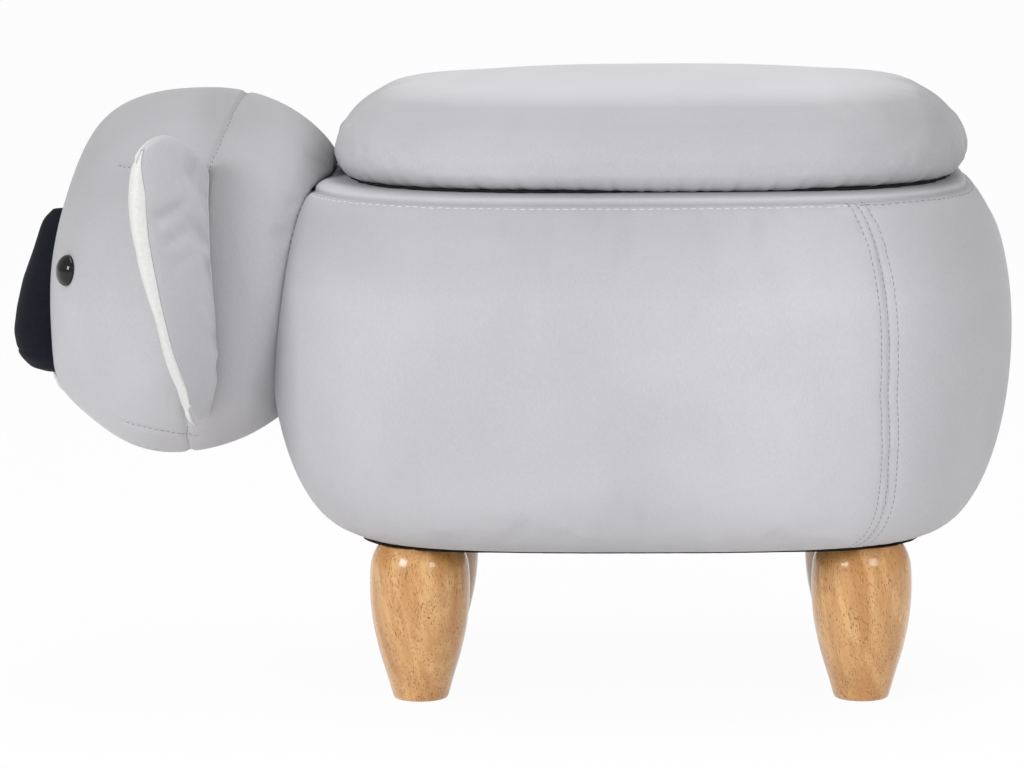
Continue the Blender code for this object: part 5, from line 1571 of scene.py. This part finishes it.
@dataclass
class Linings:
    """The black cloths: compartment lining, floor covering, lid lining and dust cover."""

    palette: Palette
    body: BodyUpholstery
    lid: LidCushion
    dust_inset: float = 0.0585
    dust_bulge: float = 0.0045
    dust_drop: float = 0.0006
    leg_reach: float = 0.050
    lid_inset: float = 0.0105
    lid_solid_inset: float = 0.0085
    lid_drawn_places: tuple[float, ...] = (-0.10, -0.07, 0.06, 0.10, 0.165, 0.195)
    lid_drawn_shares: tuple[float, ...] = (0.972, 1.0, 1.0, 0.972, 0.972, 1.0)
    wall_inset: float = 0.0640
    wall_gap: float = 0.0010
    wall_thickness: float = 0.0007

    def build(self) -> None:
        """Model each cloth."""
        self.dust_cover()
        self.lid_lining()
        self.wall_lining()
        self.floor_cloth()

    def flat_cloth(self, name: str, outline: Outline, inset: float, level: float, sag: float, seed: int,
                   ragged: float, thickness: float) -> bpy.types.Object:
        """A stretched cloth with the plan's outline, a shallow sag and an uneven cut edge.

        Args:
            name: the cloth's name.
            outline: the plan it follows.
            inset: how far its edge lies inside that.
            level: the height of its upper face.
            sag: how far its middle hangs.
            seed: fixes its unevenness.
            ragged: how uneven the edge is.
            thickness: the cloth's own.

        Returns:
            The cloth.
        """
        chance = np.random.default_rng(seed)
        turns = round_turns(360)
        phases = chance.uniform(0.0, FULL_TURN, 5)
        edge = sum(np.sin(turns * count + phase) for count, phase in zip((9, 23, 41, 67, 97), phases)) / 5
        rings = []
        for share in (1.0, 0.97, 0.93, 0.86, 0.76, 0.64, 0.50, 0.36, 0.22, 0.10, 0.03):
            ring = outline.ring(turns, inset, share)
            if share == 1.0:
                ring += (ring - (outline.centre_x, 0.0)) * (ragged * edge / 0.16)[:, None]
            wave = (0.15 * np.sin(turns * 4 + phases[0]) * share ** 2
                    + 0.1 * np.sin(turns * 7 + phases[1]) * share ** 3)
            drop = sag * (1 - share ** 2) * (1 + wave)
            rings.append(np.column_stack([ring, level - drop]))
        middle = tuple(range((len(rings) - 1) * len(turns), len(rings) * len(turns)))
        faces = grid_faces(len(rings), len(turns), False, True) + [middle]
        piece = Bench.from_points(name, np.concatenate(rings), faces)
        Bench.modify(piece, "SOLIDIFY", thickness=thickness, offset=0.0)
        Bench.move_points(piece, Bench.points(piece) - (0.0, 0.0, thickness / 2))
        return Bench.settle(piece, 60.0)

    def dust_cover(self) -> None:
        """The cloth under the body, held by staples, whose edge shows beside the legs."""
        low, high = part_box("dust_cover")
        outline = self.body.outline
        piece = self.flat_cloth("dust_cloth", outline, self.dust_inset, high.z, 0.0, 5, 0.0006,
                                high.z - low.z)
        points = Bench.points(piece)
        centre = np.array([outline.centre_x, 0.0])
        out = points[:, :2] - centre
        turns = np.arctan2(out[:, 1], out[:, 0])
        edge = np.linalg.norm(outline.ring(turns, self.dust_inset) - centre, axis=1)
        reach = np.linalg.norm(out, axis=1) / edge
        for name in LEG_NAMES:
            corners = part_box("leg_" + name)
            leg = np.array((corners[0] + corners[1]) / 2)[:2]
            gap = np.linalg.norm(points[:, :2] - leg, axis=1)
            close = np.exp(-(gap / self.leg_reach) ** 4) * (reach > 0.945)
            away = out / np.linalg.norm(out, axis=1, keepdims=True)
            points[:, :2] += away * (self.dust_bulge * close)[:, None]
            points[:, 2] -= self.dust_drop * close
        Bench.move_points(piece, points)
        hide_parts("dust_cover")
        dress(piece, self.palette.lining, Body.BASE)

    def lid_lining(self) -> None:
        """The cloth stapled under the lid, whose cut edge shows as a thin dark line."""
        low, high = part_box("lid_lining")
        outline = self.lid.outline
        piece = self.flat_cloth("lid_under_cloth", outline, self.lid_inset, high.z, 0.0, 8, 0.0020,
                                high.z - low.z)
        points = Bench.points(piece)
        points[:, 1] *= np.interp(points[:, 0], self.lid_drawn_places, self.lid_drawn_shares)
        Bench.move_points(piece, points)
        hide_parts("lid_lining")
        dress(piece, self.palette.lining, Body.LID)

    @staticmethod
    def area(outline: Outline, inset: float) -> float:
        """The flat area inside an outline."""
        ring = outline.ring(round_turns(720), inset)
        following = np.roll(ring, -1, axis=0)
        return float(abs((ring[:, 0] * following[:, 1] - following[:, 0] * ring[:, 1]).sum()) / 2)

    def wall_lining(self) -> None:
        """The cloth round the compartment, with slight upright folds."""
        low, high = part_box("wall_lining")
        outline, turns, rows = self.body.outline, round_turns(420), []
        centre = np.array([outline.centre_x, 0.0])
        ring = outline.ring(turns, self.wall_inset)
        out = (ring - centre) / np.linalg.norm(ring - centre, axis=1, keepdims=True)
        levels = np.linspace(low.z, high.z, 22)
        for index, level in enumerate(levels):
            slack = math.sin(HALF_TURN * index / (len(levels) - 1))
            fold = 0.0005 * slack * (np.sin(turns * 31 + 0.8 * index / 22) + np.sin(turns * 17 + 2.0))
            inward = ring - out * (fold + self.wall_gap)[:, None]
            rows.append(np.column_stack([inward, np.full(len(turns), level)]))
        faces = grid_faces(len(rows), len(turns), False, True)
        piece = Bench.from_points("wall_cloth", np.concatenate(rows), faces)
        Bench.modify(piece, "SOLIDIFY", thickness=self.wall_thickness, offset=0.0)
        Bench.settle(piece, 60.0)
        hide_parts("wall_lining")
        dress(piece, self.palette.lining, Body.BASE)

    def floor_cloth(self) -> None:
        """The covered panel on the compartment's floor, with rolled edges."""
        low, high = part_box("floor_panel")
        turns = round_turns(300)
        inset = self.body.outline.half_length - (high.x - low.x) / 2
        thick = high.z - low.z
        section = [(inset + 0.08, low.z), (inset + 0.0008, low.z), (inset, low.z + 0.3 * thick),
                   (inset, low.z + 0.7 * thick), (inset + 0.0009, high.z - 0.0001), (inset + 0.003, high.z),
                   (inset + 0.03, high.z), (inset + 0.08, high.z)]
        rings = [self.body.outline.level_ring(turns, out, level) for out, level in section]
        faces = ring_faces(len(rings), len(turns))
        piece = Bench.from_points("floor_cloth_panel", np.concatenate(rings), faces)
        Bench.settle(piece, 50.0)
        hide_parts("floor_panel")
        dress(piece, self.palette.lining, Body.BASE)


@dataclass
class Fittings:
    """Screws in the hinge leaves, staples under the dust cover, and the finishes of the kept solids."""

    palette: Palette
    screw_radius: float = 0.0030
    screw_height: float = 0.0012
    screw_sunk: float = 0.0007
    screw_shares: tuple[float, float] = (0.22, 0.78)
    rim_plate: float = 0.3290
    lid_plate: float = 0.3308
    staple_inset: float = 0.0665
    staple_pitch: float = 0.032
    staple_size: Triple = (0.010, 0.0009, 0.0007)

    def build(self) -> None:
        """Model the screws and staples and finish the kept solids."""
        for number in (1, 2):
            self.screws(f"hinge_base_leaf_{number}", f"rim_screws_{number}", 1, Body.BASE)
            self.screws(f"hinge_lid_leaf_{number}", f"lid_screws_{number}", -1, Body.LID)
        self.staples()
        self.finish_solids()

    def screw(self, spot: Vector, up: int) -> bpy.types.Object:
        """A low domed screw head with a cross recess.

        Args:
            spot: where it sits on the leaf.
            up: 1 if its head faces up, -1 if down.

        Returns:
            The screw head.
        """
        Bench.deselect()
        bpy.ops.mesh.primitive_cylinder_add(vertices=32, radius=self.screw_radius, depth=self.screw_height,
                                            end_fill_type="NGON")
        screw = bpy.context.object
        bpy.ops.object.mode_set(mode="EDIT")
        bpy.ops.mesh.select_all(action="DESELECT")
        mesh = bmesh.from_edit_mesh(screw.data)
        top = max(mesh.faces, key=lambda face: face.calc_center_median().z)
        top.select = True
        bmesh.update_edit_mesh(screw.data)
        bpy.ops.mesh.inset(thickness=self.screw_radius * 0.25, depth=0.0003)
        bpy.ops.mesh.inset(thickness=self.screw_radius * 0.35, depth=0.0001)
        bpy.ops.object.mode_set(mode="OBJECT")
        for turn in (0.0, QUARTER_TURN):
            bpy.ops.mesh.primitive_cube_add(size=1.0, location=(0.0, 0.0, 0.0010),
                                            rotation=(0.0, 0.0, turn + 0.5),
                                            scale=(self.screw_radius * 1.25, 0.0006, 0.0014))
            cutter = bpy.context.object
            Bench.modify(screw, "BOOLEAN", operation="DIFFERENCE", solver="EXACT", object=cutter)
            bpy.data.objects.remove(cutter, do_unlink=True)
        screw.rotation_euler = (0.0 if up > 0 else HALF_TURN, 0.0, 0.0)
        screw.location = spot
        return Bench.settle(screw, 35.0)

    def screws(self, leaf: str, name: str, up: int, body: Body) -> None:
        """Two screws in a hinge leaf."""
        low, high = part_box(leaf)
        plate = self.rim_plate if up > 0 else self.lid_plate
        heads = []
        for share in self.screw_shares:
            spot = Vector((low.x + (high.x - low.x) * share, low.y + 0.010, plate))
            heads.append(self.screw(spot - Vector((0.0, 0.0, up * self.screw_sunk)), up))
        dress(Bench.join(name, heads), self.palette.steel, body)

    def staples(self) -> None:
        """Staples along the dust cover's edge."""
        low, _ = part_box("dust_cover")
        outline = BodyUpholstery.outline
        edge = outline.level_ring(np.linspace(0.0, FULL_TURN, 720), self.staple_inset, low.z)
        ring = evenly(edge, self.staple_pitch)
        Bench.deselect()
        bpy.ops.mesh.primitive_cube_add(size=1.0, scale=self.staple_size)
        staple = bpy.context.object
        bpy.ops.object.transform_apply(location=False, rotation=False, scale=True)
        Bench.modify(staple, "BEVEL", width=0.0003, segments=2)
        template = Bench.points(staple).copy()
        pattern = [tuple(face.vertices) for face in staple.data.polygons]
        bpy.data.objects.remove(staple, do_unlink=True)
        points, faces = [], []
        for index, (one, two) in enumerate(zip(ring, ring[1:])):
            angle = math.atan2(two[1] - one[1], two[0] - one[0]) + 0.12 * math.sin(index * 2.1)
            turn = np.array(Matrix.Rotation(angle, 3, "Z"))
            faces += [tuple(index * len(template) + corner for corner in face) for face in pattern]
            points.append(template @ turn.T + one)
        piece = Bench.from_points("dust_cloth_staples", np.concatenate(points), faces)
        dress(Bench.settle(piece, 40.0), self.palette.steel, Body.BASE)

    def finish_solids(self) -> None:
        """Give each kept solid the finish of its slot."""
        look = self.palette
        finishes = {"plywood": look.plywood, "steel": look.steel, "lining": look.lining,
                    "washer_plastic": look.washer, "foam": look.washer, "wadding": look.plush,
                    "velvet": look.velvet, "plush": look.plush, "nose_fabric": look.nose,
                    "eye_plastic": look.eye}
        for part in frame["record"]["subparts"]:
            node = frame["nodes"][part["node"]]
            material = finishes.get(part["material_slot"])
            if material is not None:
                node.data.materials.clear()
                node.data.materials.append(material)
                LOG.info("%s keeps its solid in %s", node.name, material.name)


# Studio.


@dataclass(frozen=True)
class Lamp:
    """A soft rectangular lamp aimed at the object."""

    name: str
    place: Triple
    size: tuple[float, float]
    power: float
    target: Triple = (0.0, 0.0, 0.22)

    def make(self) -> None:
        """Add the lamp."""
        light = bpy.data.lights.new(self.name, "AREA")
        light.shape = "RECTANGLE"
        light.size, light.size_y = self.size
        light.energy = self.power
        lamp = bpy.data.objects.new(self.name, light)
        bpy.context.scene.collection.objects.link(lamp)
        lamp.location = self.place
        lamp.rotation_euler = (Vector(self.target) - Vector(self.place)).to_track_quat("-Z", "Y").to_euler()


@dataclass
class Studio:
    """Pale floor, soft light and the photograph's camera."""

    distance: float = 3.1
    camera_x: float = 0.10
    camera_z: float = 0.66
    target: Triple = (0.0003, 0.0, 0.1905)
    roll: float = math.radians(-0.45)
    scale_px: float = 1549.5
    image_width_px: float = 1024.0
    world_strength: float = 0.44
    floor_white: float = 0.955
    floor_size: float = 40.0
    lamps: tuple[Lamp, ...] = (
        Lamp("key", (-1.7, -2.0, 1.35), (0.8, 0.8), 30.0),
        Lamp("right", (1.4, -2.2, 1.35), (0.8, 0.8), 15.5),
        Lamp("top", (0.25, 0.1, 1.9), (1.4, 1.2), 14.0),
    )

    def build(self) -> None:
        """Set the stage."""
        bpy.context.scene.view_settings.view_transform = "Standard"
        self.floor()
        self.world()
        for lamp in self.lamps:
            lamp.make()
        self.camera()

    def floor(self) -> None:
        """A wide pale floor that keeps the object's shadow."""
        Bench.deselect()
        bpy.ops.mesh.primitive_plane_add(size=self.floor_size, location=(0.0, 0.0, -0.0005))
        floor = Bench.named("studio_floor")
        shader = Shader("pale_floor")
        shader.join(Base_Color=(0.93, 0.93, 0.93), Roughness=0.9)
        white = shader.add("Emission", {"Color": (1.0, 1.0, 1.0, 1.0), "Strength": 1.0})
        path = shader.add("LightPath", {})
        seen = shader.maths("MAXIMUM", path.outputs["Is Camera Ray"], path.outputs["Is Glossy Ray"])
        seen = shader.maths("MAXIMUM", seen, path.outputs["Is Transmission Ray"])
        share = shader.maths("MULTIPLY", seen, self.floor_white)
        mixed = shader.add("MixShader", {0: share, 1: shader.surface.outputs["BSDF"],
                                         2: white.outputs["Emission"]})
        shader.tree.links.new(mixed.outputs["Shader"], shader.tree.nodes["Material Output"].inputs["Surface"])
        floor.data.materials.append(shader.material)

    def world(self) -> None:
        """Even pale surroundings that look white to the camera."""
        world = bpy.data.worlds.new("pale_studio")
        bpy.context.scene.world = world
        world.use_nodes = True
        tree = world.node_tree
        background = tree.nodes["Background"]
        background.inputs["Color"].default_value = (1.0, 1.0, 1.0, 1.0)
        path = tree.nodes.new("ShaderNodeLightPath")
        most = tree.nodes.new("ShaderNodeMath")
        most.operation = "MAXIMUM"
        tree.links.new(path.outputs["Is Camera Ray"], most.inputs[0])
        tree.links.new(path.outputs["Is Transmission Ray"], most.inputs[1])
        span = tree.nodes.new("ShaderNodeMapRange")
        span.inputs["To Min"].default_value = self.world_strength
        span.inputs["To Max"].default_value = 1.0
        tree.links.new(most.outputs["Value"], span.inputs["Value"])
        tree.links.new(span.outputs["Result"], background.inputs["Strength"])

    def camera(self) -> None:
        """A long lens at the photograph's height, a little towards the tail."""
        data = bpy.data.cameras.new("photo_camera")
        camera = bpy.data.objects.new("photo_camera", data)
        bpy.context.scene.collection.objects.link(camera)
        place = Vector((self.camera_x, -self.distance, self.camera_z))
        aim = Vector(self.target) - place
        data.sensor_width = 36.0
        data.lens = self.scale_px * aim.length * data.sensor_width / self.image_width_px
        camera.location = place
        turn = aim.to_track_quat("-Z", "Y").to_matrix().to_4x4() @ Matrix.Rotation(self.roll, 4, "Z")
        camera.rotation_euler = turn.to_euler()
        data.clip_start, data.clip_end = 0.1, 100.0
        bpy.context.scene.camera = camera


def main() -> None:
    """Build the footstool's looks in order."""
    logging.basicConfig(level=logging.INFO, format="%(name)s: %(message)s")
    palette = Palette()
    body = BodyUpholstery(palette)
    body.build()
    lid = LidCushion(palette)
    lid.build()
    head = Head(palette, body, lid)
    head.build()
    for hand in Hand:
        Ear(palette, head, hand).build()
    Face(palette, head).build()
    for seed, name in enumerate(LEG_NAMES, start=1):
        Leg(name, 0.37 * seed).build()
    Linings(palette, body, lid).build()
    Fittings(palette).build()
    Studio().build()


if __name__ == "__main__":
    main()
